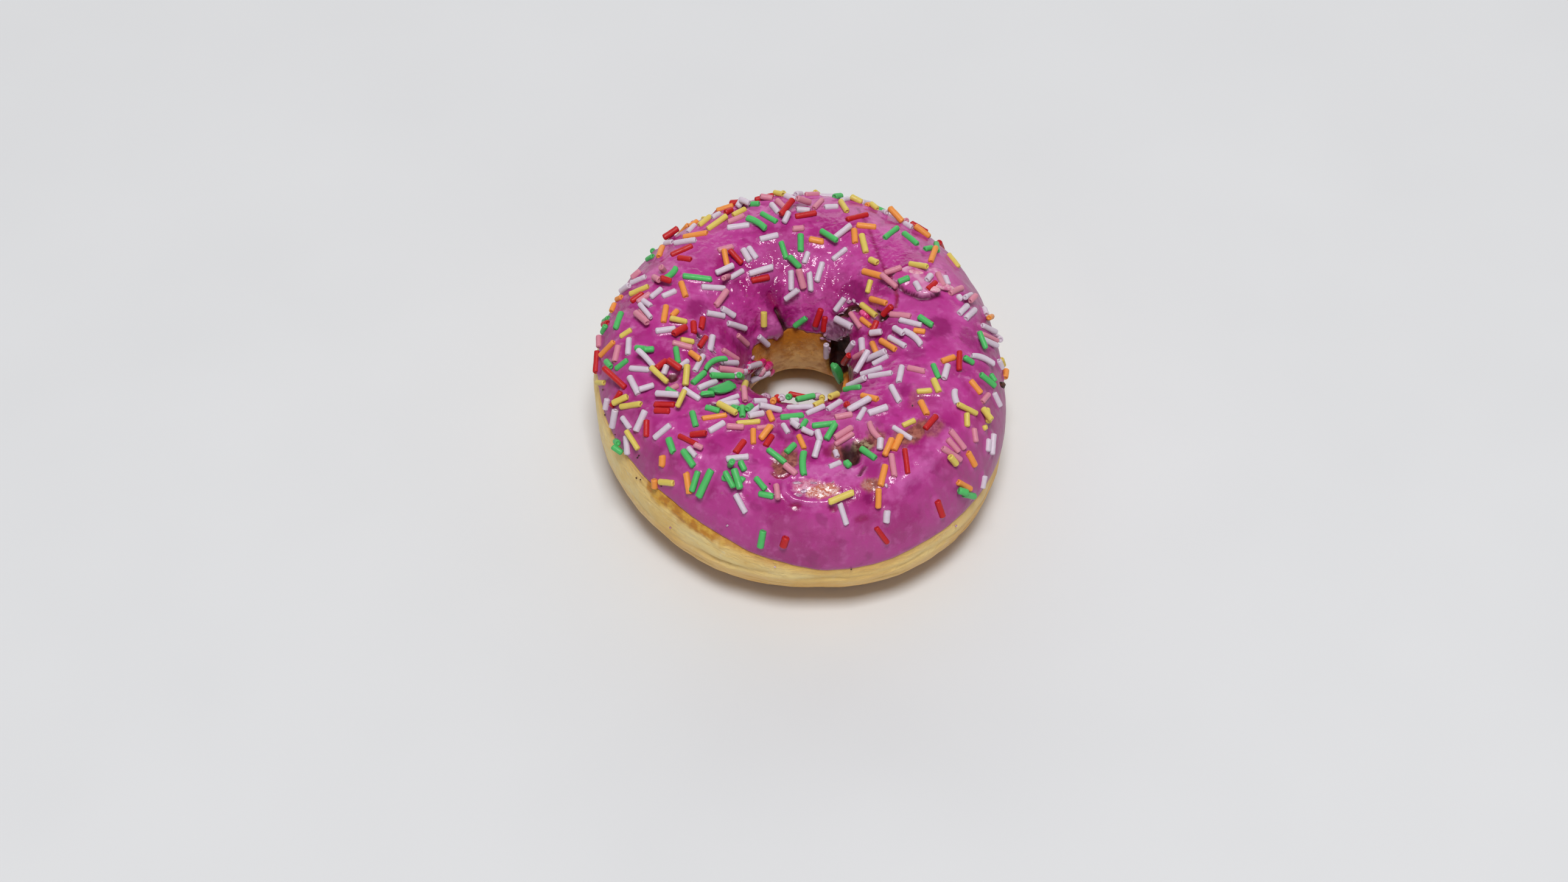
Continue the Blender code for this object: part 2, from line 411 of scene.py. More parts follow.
def sprinkle_material(name, colour, deep):
    t = Tree("sprinkle_" + name)
    where = t.place()
    tone = t.mix(t.ramp(t.noise(where, 0.0015, 2), 0.35, 0.65), colour,
                 tuple(0.9 * c + 0.1 * d for c, d in zip(colour, deep)))
    # Painted shade: the darker colour on the underside and on cut faces
    tone = t.mix(t.field("painted_shade"), tone, deep)
    t.put(t.shader.inputs["Base Color"], tone)
    t.put(t.shader.inputs["Roughness"], t.ramp(t.noise(where, 0.0008, 2), 0.3, 0.7, 0.38, 0.55))
    t.put(t.shader.inputs["Normal"], t.bump(t.noise(where, 0.0004, 3), 0.00008, 0.5))
    t.shader.inputs["IOR"].default_value = 1.45
    return t.material


def shred_material():
    t = Tree("torn_icing")
    where = t.place()
    tone = t.mix(t.ramp(t.noise(where, 0.0007, 3), 0.4, 0.6), SHRED_DEEP, SHRED_PALE)
    # Painted shade on the cut faces
    tone = t.mix(t.math("MULTIPLY", t.field("painted_shade"), 0.6), tone, SHRED_DEEP)
    t.put(t.shader.inputs["Base Color"], tone)
    t.put(t.shader.inputs["Roughness"], t.ramp(t.noise(where, 0.0008, 2), 0.3, 0.7, 0.2, 0.4))
    t.put(t.shader.inputs["Normal"], t.bump(t.noise(where, 0.0004, 3), 0.00015, 0.6))
    t.shader.inputs["IOR"].default_value = 1.46
    return t.material


def jelly_material():
    t = Tree("wet_icing")
    where = t.place()
    tone = t.mix(t.ramp(t.noise(where, 0.0012, 3), 0.4, 0.62), JELLY_DEEP, JELLY_PALE)
    t.put(t.shader.inputs["Base Color"], tone)
    t.put(t.shader.inputs["Roughness"], t.ramp(t.noise(where, 0.002, 2), 0.3, 0.7, 0.08, 0.2))
    t.put(t.shader.inputs["Normal"], t.bump(t.noise(where, 0.0007, 2), 0.0002, 0.5))
    t.shader.inputs["IOR"].default_value = 1.48
    return t.material


def clot_material():
    t = Tree("clotted_icing")
    where = t.place()
    tone = t.mix(t.ramp(t.noise(where, 0.0013, 3), 0.4, 0.6), CLOT_DEEP, CLOT_PALE)
    t.put(t.shader.inputs["Base Color"], tone)
    t.put(t.shader.inputs["Roughness"], t.ramp(t.noise(where, 0.001, 2), 0.3, 0.7, 0.15, 0.35))
    t.put(t.shader.inputs["Normal"], t.bump(t.noise(where, 0.0006, 3), 0.00015, 0.5))
    t.shader.inputs["IOR"].default_value = 1.46
    return t.material


def crumb_material():
    t = Tree("browned_crumb")
    where = t.place()
    tone = t.mix(t.ramp(t.noise(where, 0.0005, 3), 0.4, 0.65), CRUMB_DARK, CRUMB_BROWN)
    t.put(t.shader.inputs["Base Color"], tone)
    t.put(t.shader.inputs["Roughness"], t.ramp(t.noise(where, 0.0008, 2), 0.3, 0.7, 0.4, 0.7))
    t.put(t.shader.inputs["Normal"], t.bump(t.noise(where, 0.0003, 3), 0.0001, 0.6))
    return t.material


# Colours, linear
# Painted shade under the icing's edge on the hole's wall
DOUGH_SHADE_UNDER_ICING = (0.44, 0.14, 0.01)
DOUGH_PALE = (0.9, 0.76, 0.46)
# Painted shade in the dough's creases
DOUGH_FOLD_SHADE = (0.5, 0.26, 0.05)
AMBER_PALE = (0.66, 0.36, 0.05)
MILK_PALE = (0.7, 0.32, 0.5)
MILK_DEEP = (0.53, 0.065, 0.29)
CRUMB_PALE = (0.36, 0.26, 0.15)
ICING_PLAIN = (0.475, 0.034, 0.265)
ICING_DEEP = (0.35, 0.011, 0.165)
# Paler dye for the random mottling, also painted as sheen and highlights
ICING_PALE_AND_SHEEN = (0.62, 0.14, 0.43)
ICING_SKIN = (0.34, 0.062, 0.195)
# Darker dye for blotches, also painted as shade in creases and hollows
ICING_BLOTCH_AND_SHADE = (0.24, 0.003, 0.11)
ICING_RED = (0.30, 0.005, 0.05)
ICING_TORN = (0.25, 0.085, 0.18)
ICING_TORN_PALE = (0.43, 0.21, 0.34)
BARE_DEEP = (0.18, 0.05, 0.028)
BARE_PLAIN = (0.4, 0.14, 0.085)
SUGAR_DEEP = (0.55, 0.16, 0.1)
SUGAR_PALE = (0.82, 0.55, 0.54)
SHRED_DEEP = (0.34, 0.12, 0.25)
SHRED_PALE = (0.66, 0.48, 0.58)
CLOT_DEEP = (0.66, 0.17, 0.34)
CLOT_PALE = (0.78, 0.42, 0.5)
DOUGH_HOLE_DEEP = (0.64, 0.26, 0.025)
AMBER = (0.5, 0.2, 0.02)
JELLY_DEEP = (0.55, 0.012, 0.14)
JELLY_PALE = (0.78, 0.11, 0.3)
CRUMB_DARK = (0.03, 0.012, 0.01)
CRUMB_BROWN = (0.12, 0.04, 0.02)
# Dark brown of the crumb's texture, also painted as shade in holes and cracks
CRUMB_AND_SHADE_BROWN = (0.1, 0.025, 0.02)
# Near black painted shade in holes and cracks
HOLLOW_SHADE_DARK = (0.035, 0.003, 0.005)
DOUGH_CREAM = (0.88, 0.68, 0.29)
DOUGH_GOLD = (0.8, 0.49, 0.12)
DOUGH_STRAW = (0.84, 0.58, 0.20)
DOUGH_BROWN = (0.74, 0.36, 0.07)
DOUGH_HOLE = (0.95, 0.58, 0.19)
# Each colour has a darker one, painted on the shaded underside
SPRINKLES = {
    "W": ("white", (0.66, 0.565, 0.655), (0.45, 0.22, 0.36)),
    "P": ("pink", (0.66, 0.235, 0.32), (0.48, 0.09, 0.18)),
    "R": ("red", (0.53, 0.01, 0.013), (0.28, 0.003, 0.006)),
    "O": ("orange", (0.83, 0.3, 0.053), (0.6, 0.13, 0.03)),
    "Y": ("yellow", (0.71, 0.555, 0.112), (0.52, 0.26, 0.05)),
    "G": ("green", (0.08, 0.49, 0.125), (0.03, 0.2, 0.06)),
}


# ---------------------------------------------------------------- the sprinkles' layout
# Colour, angle, turn, heading, length, and where they matter tilt and bend. The heading is
# 0 along the ring and 90 towards the hole. A later one lies over an earlier one it crosses.
LAYOUT = (
    ("O", 129.5, 40, 70, 3.6), ("R", 130, 47, -22, 3.8), ("W", 134.5, 57, 96, 2.7),
    ("W", 132.5, 72, -58, 5), ("O", 139, 58, 30, 4.3), ("G", 141.5, 50, 92, 2.5, 5),
    ("O", 128, 73, -46, 5.4), ("R", 136.5, 76, -30, 5), ("R", 139.5, 83, -74, 3.2),
    ("O", 123.5, 55, 6, 2.6), ("Y", 121, 64, 18, 4), ("W", 126, 62, 20, 3.1),
    ("W", 117, 66, 20, 2.5, 5), ("Y", 119, 75, 4, 5.4, -5), ("O", 112.5, 58, -22, 3.8),
    ("R", 113, 69, 30, 2.5, 5), ("Y", 110, 73, 14, 3.5), ("P", 112.5, 79, 4, 4),
    ("W", 113.5, 86, -22, 4.8), ("R", 108, 59, -30, 3.9), ("W", 108, 64, 30, 2.5),
    ("W", 107, 69, -60, 2.5), ("G", 104, 69, -34, 2.3, -5), ("R", 100, 60, 8, 4.3),
    ("P", 99.5, 64, -14, 2.7), ("Y", 95.5, 59, -44, 2.5, -5), ("W", 92, 67, -50, 3.5),
    ("W", 89.5, 60, 58, 2.5, 10), ("W", 98, 79, -76, 3.7), ("P", 95.5, 76, -70, 4.1),
    ("R", 94, 83, 52, 5), ("W", 94.5, 89, 58, 2.8), ("G", 101, 86, -56, 4.5),
    ("G", 106.5, 89, -58, 5.1, 0, -0.4), ("W", 103.5, 99, 0, 4.1), ("P", 124, 95, -22, 3.4),
    ("O", 127.5, 101, 60, 4.1), ("R", 123, 104, -82, 4), ("W", 117.5, 106, 86, 3.4),
    ("W", 114, 106, -86, 3.4), ("W", 132.5, 107, -20, 4.2), ("W", 128, 114, -4, 3.5),
    ("W", 114, 120, -6, 5.4, -5), ("R", 116.5, 125, -12, 4), ("P", 136, 112, 0, 3.4, 70),
    ("W", 144.5, 110, -52, 5.2), ("G", 145, 97, -64, 6.1), ("G", 149, 82, -16, 4.4, 0, 0.5),
    ("P", 148, 76, 0, 3.4, 70), ("P", 153.5, 76, 56, 2.9), ("R", 154.5, 84, -74, 2.4),
    ("O", 154.5, 94, 36, 4.2), ("G", 98, 110, -82, 4.2), ("G", 93, 119, -42, 3.5),
    ("W", 96, 131, 88, 4.3), ("P", 89, 130, -70, 4.4), ("P", 85.5, 57, 32, 3.5),
    ("P", 88, 77, 32, 4.1), ("W", 88, 82, 0, 3), ("R", 87, 86, 18, 4.7), ("P", 83, 74, 72, 4.4),
    ("W", 78.5, 75, 24, 3), ("G", 78, 53, 68, 2.8), ("W", 75.5, 57, 72, 2.9),
    ("Y", 72.5, 52, 6, 2.8), ("Y", 74.5, 72, -54, 4.3), ("R", 68.5, 78, 56, 5.4),
    ("O", 68.5, 52, -90, 2.8), ("Y", 66.5, 55, -26, 2.5, -5), ("W", 62.5, 56, -48, 2.5, -15),
    ("O", 58.5, 58, 0, 4.3), ("W", 53, 59, -10, 2.5, -5), ("R", 51.5, 47, 30, 4.1),
    ("O", 48.5, 54, 34, 4), ("O", 63.5, 83, 28, 4.2), ("O", 65.5, 92, -58, 3.9),
    ("Y", 60, 94, -44, 5.2), ("W", 71, 93, 62, 4.9), ("G", 76, 99, -26, 4.7),
    ("O", 81.5, 102, -2, 3.2), ("G", 89, 105, -88, 4.3), ("P", 90, 95, 12, 2.5),
    ("W", 86, 115, 78, 2.8), ("W", 68.5, 107, 66, 4), ("W", 77, 123, 90, 4.5),
    ("W", 82.5, 131, -74, 4.1), ("Y", 50, 101, 4, 2.5, -10), ("O", 45, 108, 22, 5.2),
    ("Y", 41.5, 116, -60, 2.9), ("G", 54, 78, -82, 5.1), ("G", 47, 72, 0, 4.7),
    ("G", 40, 66, -82, 2.5), ("G", 40.5, 55, -38, 4.7), ("O", 36, 68, -42, 5.4, 5),
    ("W", 31, 83, 20, 2.5, -10), ("Y", 30.5, 86, 34, 4.5), ("P", 36, 98, 74, 3.7),
    ("P", 32, 104, 18, 4.5), ("G", 27, 96, 82, 2.5), ("P", 149, 48, -50, 2.5),
    ("W", 153, 58, -76, 4), ("W", 155.5, 47, 90, 3.4), ("Y", 158.5, 65, -66, 4.5),
    ("O", 159, 44, 76, 2.5), ("O", 162, 40, 2, 2.5, 5), ("R", 162, 66, -46, 3.1),
    ("P", 162.5, 72, -42, 3.4), ("W", 160, 80, -28, 3.3), ("W", 159, 88, -46, 3.2),
    ("P", 170.5, 75, 34, 3.4), ("W", 165.5, 76, 58, 2.5), ("W", 170, 77, 38, 4.7),
    ("P", 173, 75, 40, 5), ("O", 170, 89, 0, 4.5), ("O", 169, 94, -26, 2.2, 5),
    ("Y", 173, 97, -90, 3.7), ("W", 178.5, 90, -82, 4.2), ("R", 179.5, 98, -52, 3.5),
    ("R", 174.5, 108, 8, 3), ("R", 169.5, 114, 2, 3), ("Y", 184, 103, 84, 2.9),
    ("P", 187, 99, 70, 4.2), ("G", 170.5, 54, -12, 4.3), ("G", 165, 33, 68, 3.5),
    ("R", 167.5, 36, 62, 3.1), ("G", 170, 37, -84, 2.5, -5), ("Y", 177, 62, -72, 2.9),
    ("O", 179, 43, -82, 4.9), ("P", 183.5, 53, -22, 3.8), ("W", 183, 64, -8, 4.2),
    ("G", 185.5, 73, 64, 2.5), ("G", 188, 79, 90, 2.2), ("W", 192, 76, 26, 5.3, 0, 0.2),
    ("P", 172.5, 30, -6, 2.8), ("R", 179, 27, -16, 5), ("G", 193, 94, -6, 4.2),
    ("W", 199, 107, -40, 5.4), ("O", 195, 105, 18, 3.4), ("R", 181.5, 116, -30, 3.6),
    ("W", 180, 124, -8, 4), ("G", 201.5, 117, -76, 5.5, -25, -1), ("W", 199, 96, -60, 2.6),
    ("R", 196.5, 84, -56, 3.3), ("G", 185.5, 45, 28, 3.1), ("G", 188.5, 56, -80, 3.3),
    ("P", 147.5, 119, 2, 4.5), ("W", 159, 122, -64, 4.1), ("W", 151.5, 129, -72, 3.6),
    ("W", 153, 141, -56, 5.4, -5), ("Y", 126, 151, 70, 3.4), ("W", 97, 140, 36, 3.7),
    ("G", 90, 160, 46, 3.6), ("R", 72.5, 154, 84, 4.4), ("R", 65, 157, -84, 3.6),
    ("P", 155, 153, -72, 4.4), ("W", 132, 166, -64, 4.1), ("P", 182.5, 142, -94, 4.8),
    ("W", 192.5, 139, -72, 5), ("W", 61, 178, -90, 4.4), ("W", 20.5, 91, 8, 2.5),
    ("W", 23, 84, -44, 2.2, -10), ("P", 21.5, 77, 4, 3.8), ("W", 21.5, 72, 12, 2.3, -10),
    ("R", 19, 84, -56, 3), ("P", 18, 65, -58, 4.8), ("W", 55, 139, 78, 3.5),
    ("O", 28, 117, 32, 5.1), ("Y", 31, 129, 12, 5.2), ("R", 16.5, 114, -92, 3.3),
    ("P", 9, 106, 64, 4.7), ("W", 2.5, 100, 64, 4.9), ("G", 2, 91, 48, 3.6),
    ("O", 357, 95, 78, 2.5), ("W", 353, 99, 44, 5.4, 5, -0.5), ("W", 357, 108, 42, 3.3),
    ("W", 351, 110, 50, 4.9), ("O", 350, 117, 46, 5.2), ("R", 13, 131, -38, 3.6),
    ("O", 352.5, 130, 26, 4.6), ("W", 5, 127, 78, 2.8), ("W", 4.5, 143, -2, 3.4),
    ("W", 18, 156, 82, 3.8), ("P", 352, 143, 84, 3.8), ("R", 16.5, 166, 70, 4.8, 5),
    ("W", 42.5, 148, 10, 4.9), ("P", 32.5, 141, -4, 4.7), ("O", 23.5, 136, 20, 3.5),
    ("W", 337.5, 121, -62, 3.7), ("W", 341, 125, 94, 5.4, 5), ("W", 326.5, 124, -70, 5),
    ("W", 334, 133, -28, 5.4), ("W", 324, 115, -74, 5.3), ("G", 308, 129, -72, 4.6),
    ("W", 314, 130, -68, 5.1), ("O", 19.5, 187, 16, 5.4, -10), ("O", 307, 109, -76, 4.1),
    ("W", 299.5, 108, -12, 5.2), ("R", 294, 112, -54, 1.2, 5), ("W", 297.5, 102, 32, 3.5),
    ("W", 304.5, 98, -22, 4.2), ("P", 289.5, 106, -12, 3.6), ("W", 328, 102, 12, 4.6),
    ("P", 333.5, 94, 84, 3.8), ("W", 316.5, 98, 54, 4.9), ("G", 336, 84, 30, 3.9),
    ("Y", 325, 86, -62, 3.1), ("Y", 329.5, 81, 38, 3.5), ("O", 343.5, 78, -54, 3.2),
    ("W", 337, 78, -2, 4.1), ("R", 343.5, 71, 8, 4.4), ("W", 329, 67, 26, 3.7, 0, 0.3),
    ("Y", 327.5, 57, -70, 5.2), ("Y", 324.5, 54, 36, 2.9), ("O", 318.5, 81, 52, 3.7),
    ("R", 315.5, 72, -2, 4.1), ("Y", 310, 82, -22, 2.9), ("W", 305.5, 80, -82, 4.8),
    ("P", 297.5, 90, 84, 4.5, 0, 0.4), ("P", 285.5, 92, 16, 4.5), ("P", 286, 95, 20, 4.6),
    ("W", 296.5, 81, 52, 2.5, -5), ("O", 301.5, 76, 28, 4), ("O", 298, 76, 32, 4.1),
    ("Y", 35, 44, 6, 4.2), ("W", 14.5, 64, 28, 1.4, -5), ("W", 15, 58, -50, 4.7),
    ("P", 14, 55, -44, 2.9), ("W", 9, 64, -42, 4), ("W", 8, 58, -42, 4.9),
    ("W", 14, 36, -14, 2.5, -5), ("O", 12.5, 32, -50, 4.7, 5), ("W", 6, 39, -78, 5.4, 5),
    ("P", 2, 41, -80, 5.4, 5), ("W", 9, 19, -38, 5.4, -10), ("W", 359.5, 43, -82, 5.4, 5),
    ("G", 357, 53, 34, 3.9), ("W", 350, 52, -90, 5.4, 10, 0.6), ("G", 346, 64, -86, 2.7),
    ("W", 355.5, 28, 78, 2.5, 5), ("Y", 359.5, 19, 92, 2.6), ("O", 357, 14, -12, 2.5),
    ("O", 338, 55, 62, 3.5), ("P", 337, 45, -22, 3.4), ("G", 344, 45, -92, 4.5),
    ("G", 346.5, 40, 50, 1.9), ("W", 341, 32, 68, 3.4), ("Y", 328.5, 38, 44, 1),
    ("Y", 332, 40, 14, 3.5), ("Y", 331, 43, 36, 3.4), ("P", 323.5, 43, 44, 2.9),
    ("W", 328, 24, 32, 4.4), ("W", 326, 28, 30, 2.6), ("R", 193.5, 51, 18, 6.5, -30),
    ("R", 198.5, 43, -76, 3.9), ("Y", 200.5, 47, 76, 3.7), ("Y", 204.5, 52, 54, 5.4),
    ("Y", 188, 31, 50, 4.1), ("W", 196.5, 32, -68, 2.5, -5), ("W", 194, 69, 58, 4.5),
    ("W", 199, 61, 4, 5.2), ("W", 203, 69, 88, 3.2), ("W", 199.5, 85, -42, 2.2, 5),
    ("R", 200, 90, 32, 3.5), ("P", 208.5, 85, -82, 1.9, 5), ("Y", 202, 80, 22, 5),
    ("Y", 207, 93, -30, 4.5), ("G", 208.5, 101, -64, 4.4), ("W", 209.5, 115, 56, 3.5),
    ("W", 214.5, 103, -88, 4.6), ("G", 211.5, 82, 30, 3.4), ("W", 216, 90, 22, 4.2),
    ("W", 211.5, 78, 42, 5.2), ("R", 213, 73, 48, 4.4), ("R", 214.5, 69, 44, 3.4),
    ("Y", 217.5, 82, -66, 3.9), ("G", 226, 80, -30, 4.2), ("G", 228, 92, 24, 3.1),
    ("O", 231.5, 89, 52, 5), ("W", 235.5, 84, 74, 3.8), ("R", 232, 73, 34, 3.5),
    ("R", 230, 66, 8, 4.8), ("P", 235, 66, 14, 1.9, 5), ("W", 233.5, 61, -14, 2.7),
    ("G", 233.5, 56, -20, 4.4), ("G", 226, 56, -28, 3.5), ("W", 220.5, 59, 78, 4.4),
    ("R", 215, 52, -40, 3.6), ("W", 211.5, 52, -68, 4.7), ("W", 207.5, 41, 2, 3.7),
    ("W", 203, 34, -72, 4.1), ("Y", 213.5, 38, -12, 4.9), ("W", 212, 30, -48, 3.9),
    ("G", 208.5, 25, 36, 2.5, 20), ("G", 210.5, 23, -14, 2.5), ("P", 205.5, 131, -108, 5.4, -15),
    ("W", 208, 139, -66, 4.9, -5), ("G", 214.5, 115, 76, 5.4, 5), ("G", 219.5, 127, -70, 2.6),
    ("W", 229, 106, 70, 4.6), ("W", 232, 103, 52, 3.4), ("Y", 224, 130, -54, 5.3, -5),
    ("P", 233.5, 116, -48, 4.6), ("W", 155, 175, -34, 5.4, -10), ("W", 142.5, 184, 8, 2.5, 5),
    ("W", 144, 189, -10, 5.4, -15), ("W", 231.5, 156, -26, 2.5, -5), ("W", 243.5, 118, 44, 2.9),
    ("O", 249.8, 125, -80, 2.4), ("R", 251.5, 130, -30, 1.6), ("W", 253.8, 131, -84, 2.2),
    ("G", 258, 137, 86, 2.2, 0, 0, 0.9), ("R", 266, 140, -10, 4.4, 0, 0, 0.95), ("G", 271.5, 136, 16, 4.2, 0, 0, 0.35),
    ("Y", 285.5, 138, 76, 2.4, 0, 0, 0.5), ("Y", 280, 128, 40, 2.8), ("R", 294, 135, 42, 3.6),
    ("Y", 293, 130, 34, 2.9), ("W", 288.5, 119, 26, 4.1), ("W", 244.5, 106, 78, 3.7),
    ("W", 251.5, 112, 24, 4.7), ("W", 247, 102, 52, 3.4), ("W", 276.5, 117, 24, 4.5),
    ("W", 267.5, 121, -6, 5.4), ("G", 240, 101, -56, 3.4), ("G", 236.5, 100, -16, 2.2, 10),
    ("G", 242, 105, 98, 2.4, -15), ("O", 253.5, 104, -48, 2.5), ("Y", 234, 96, -2, 5.1),
    ("Y", 245.5, 95, 36, 4.8), ("P", 242, 89, 28, 3.5), ("P", 253, 96, 32, 3.6),
    ("O", 254, 92, 74, 3.7), ("O", 250, 88, -64, 3.5), ("R", 256, 89, 80, 3),
    ("R", 247, 79, 86, 3.5), ("G", 260, 81, -24, 4.6), ("G", 264.5, 88, 58, 2.9),
    ("W", 248, 71, 34, 4.5), ("G", 263.5, 110, 24, 4.9), ("W", 265, 106, 22, 1.9, -5),
    ("G", 269.5, 104, 66, 2.7), ("W", 261.5, 99, -52, 2.6), ("W", 265.5, 101, -40, 2.1, 5),
    ("W", 271, 98, -14, 2.6), ("W", 275.5, 95, -78, 2.5, 5), ("W", 274, 88, 72, 3.7),
    ("O", 268.5, 92, -66, 3.5), ("G", 269, 78, -86, 5.4, -10, -0.3), ("P", 265, 73, -32, 3.2),
    ("G", 279, 103, -2, 4.9), ("G", 281, 97, 48, 4), ("W", 281, 86, -88, 1.8, 5),
    ("W", 279.5, 78, 24, 2.8), ("G", 283.5, 76, -62, 1.6, 5), ("G", 291.5, 80, -72, 4.3),
    ("P", 296, 65, 66, 5.1), ("R", 300, 63, 60, 5.4, 5), ("O", 292, 62, 52, 4.8),
    ("O", 288.5, 50, 74, 4), ("W", 279, 45, -78, 4.5), ("Y", 279, 55, 16, 5.4, 5),
    ("W", 289.5, 37, 70, 2.6), ("R", 287.5, 25, -66, 4.5), ("R", 264.5, 25, 78, 2.5, 5),
    ("G", 259, 24, 88, 3.9), ("O", 226, 43, -60, 2.3), ("O", 226.5, 25, -74, 2.1, -5),
    ("Y", 230, 32, 28, 4), ("O", 236.5, 41, -52, 4.3), ("G", 238.5, 45, -78, 4.3),
    ("G", 241.5, 47, -90, 6.1, 5), ("G", 250.5, 67, -40, 2.2, 5), ("W", 252.5, 44, -44, 4.3),
    ("G", 246.5, 56, 8, 1.2, 5), ("G", 251.5, 59, -12, 1.1), ("G", 250.5, 58, -50, 4.3),
    ("G", 248.5, 56, -38, 3.8), ("G", 247.5, 65, 0, 3.4, 70), ("G", 259, 54, 2, 3.1),
    ("G", 257, 60, -34, 3.3), ("P", 262, 57, -70, 3.3), ("P", 317.5, 52, 84, 4.9),
    ("P", 315, 52, 90, 3.6), ("P", 313, 49, -68, 5.1), ("Y", 312, 46, -74, 2.9),
    ("O", 318, 35, 84, 3.6), ("O", 312.5, 25, -58, 4.7), ("G", 313, 16, -48, 4.3),
    ("G", 310.5, 25, -50, 2.2, -15), ("W", 319.5, 12, 52, 2.7), ("R", 303.5, 24, -90, 4),
)


# ---------------------------------------------------------------- relief of the surfaces
def rim_wobble(angle, seed):
    """Small waves of the icing's margin, in radians of turn."""
    p = np.stack([np.cos(angle) * 6, np.sin(angle) * 6, np.full_like(angle, seed)], -1)
    return rad(0.9) * grid_noise(p, seed) + rad(0.5) * grid_noise(p * 2.7, seed + 1)


# How much further round its section the coat reaches at the hole, by angle
HOLE_MARGIN = ((0, 0), (55, 0), (61, -1), (68, -4), (75, -1), (83, 1), (96, -0.6), (103, -1.7),
               (107, -1), (109, 2.2), (116, 2.2), (120, -2.1), (130, -6.2), (142, -8.7), (148, -8),
               (153, 6), (158, 13), (210, 13), (232, 3), (245, 0), (360, 0))


def coat_edges(angle):
    """Turns at which the coat ends, with the small irregularities of its margins."""
    outer, hole = edges(angle)
    at, more = np.array(HOLE_MARGIN, float).T
    more = np.interp(np.degrees(angle) % 360, at, more)
    return outer + rim_wobble(angle, 5), hole + rad(more) + rim_wobble(angle, 9)


def margin_steps(count, edge_steps=(0.0, 0.03, 0.1, 0.22, 0.38, 0.58, 0.82, 1.1, 1.45)):
    """Fractions of the way over the coat, crowded at its two margins, for a way 54 mm long."""
    edge = np.array(edge_steps) / 54.0
    inner = np.linspace(edge[-1], 1 - edge[-1], count - 2 * (len(edge) - 1))
    return np.concatenate([edge[:-1], inner, 1 - edge[:-1][::-1]])


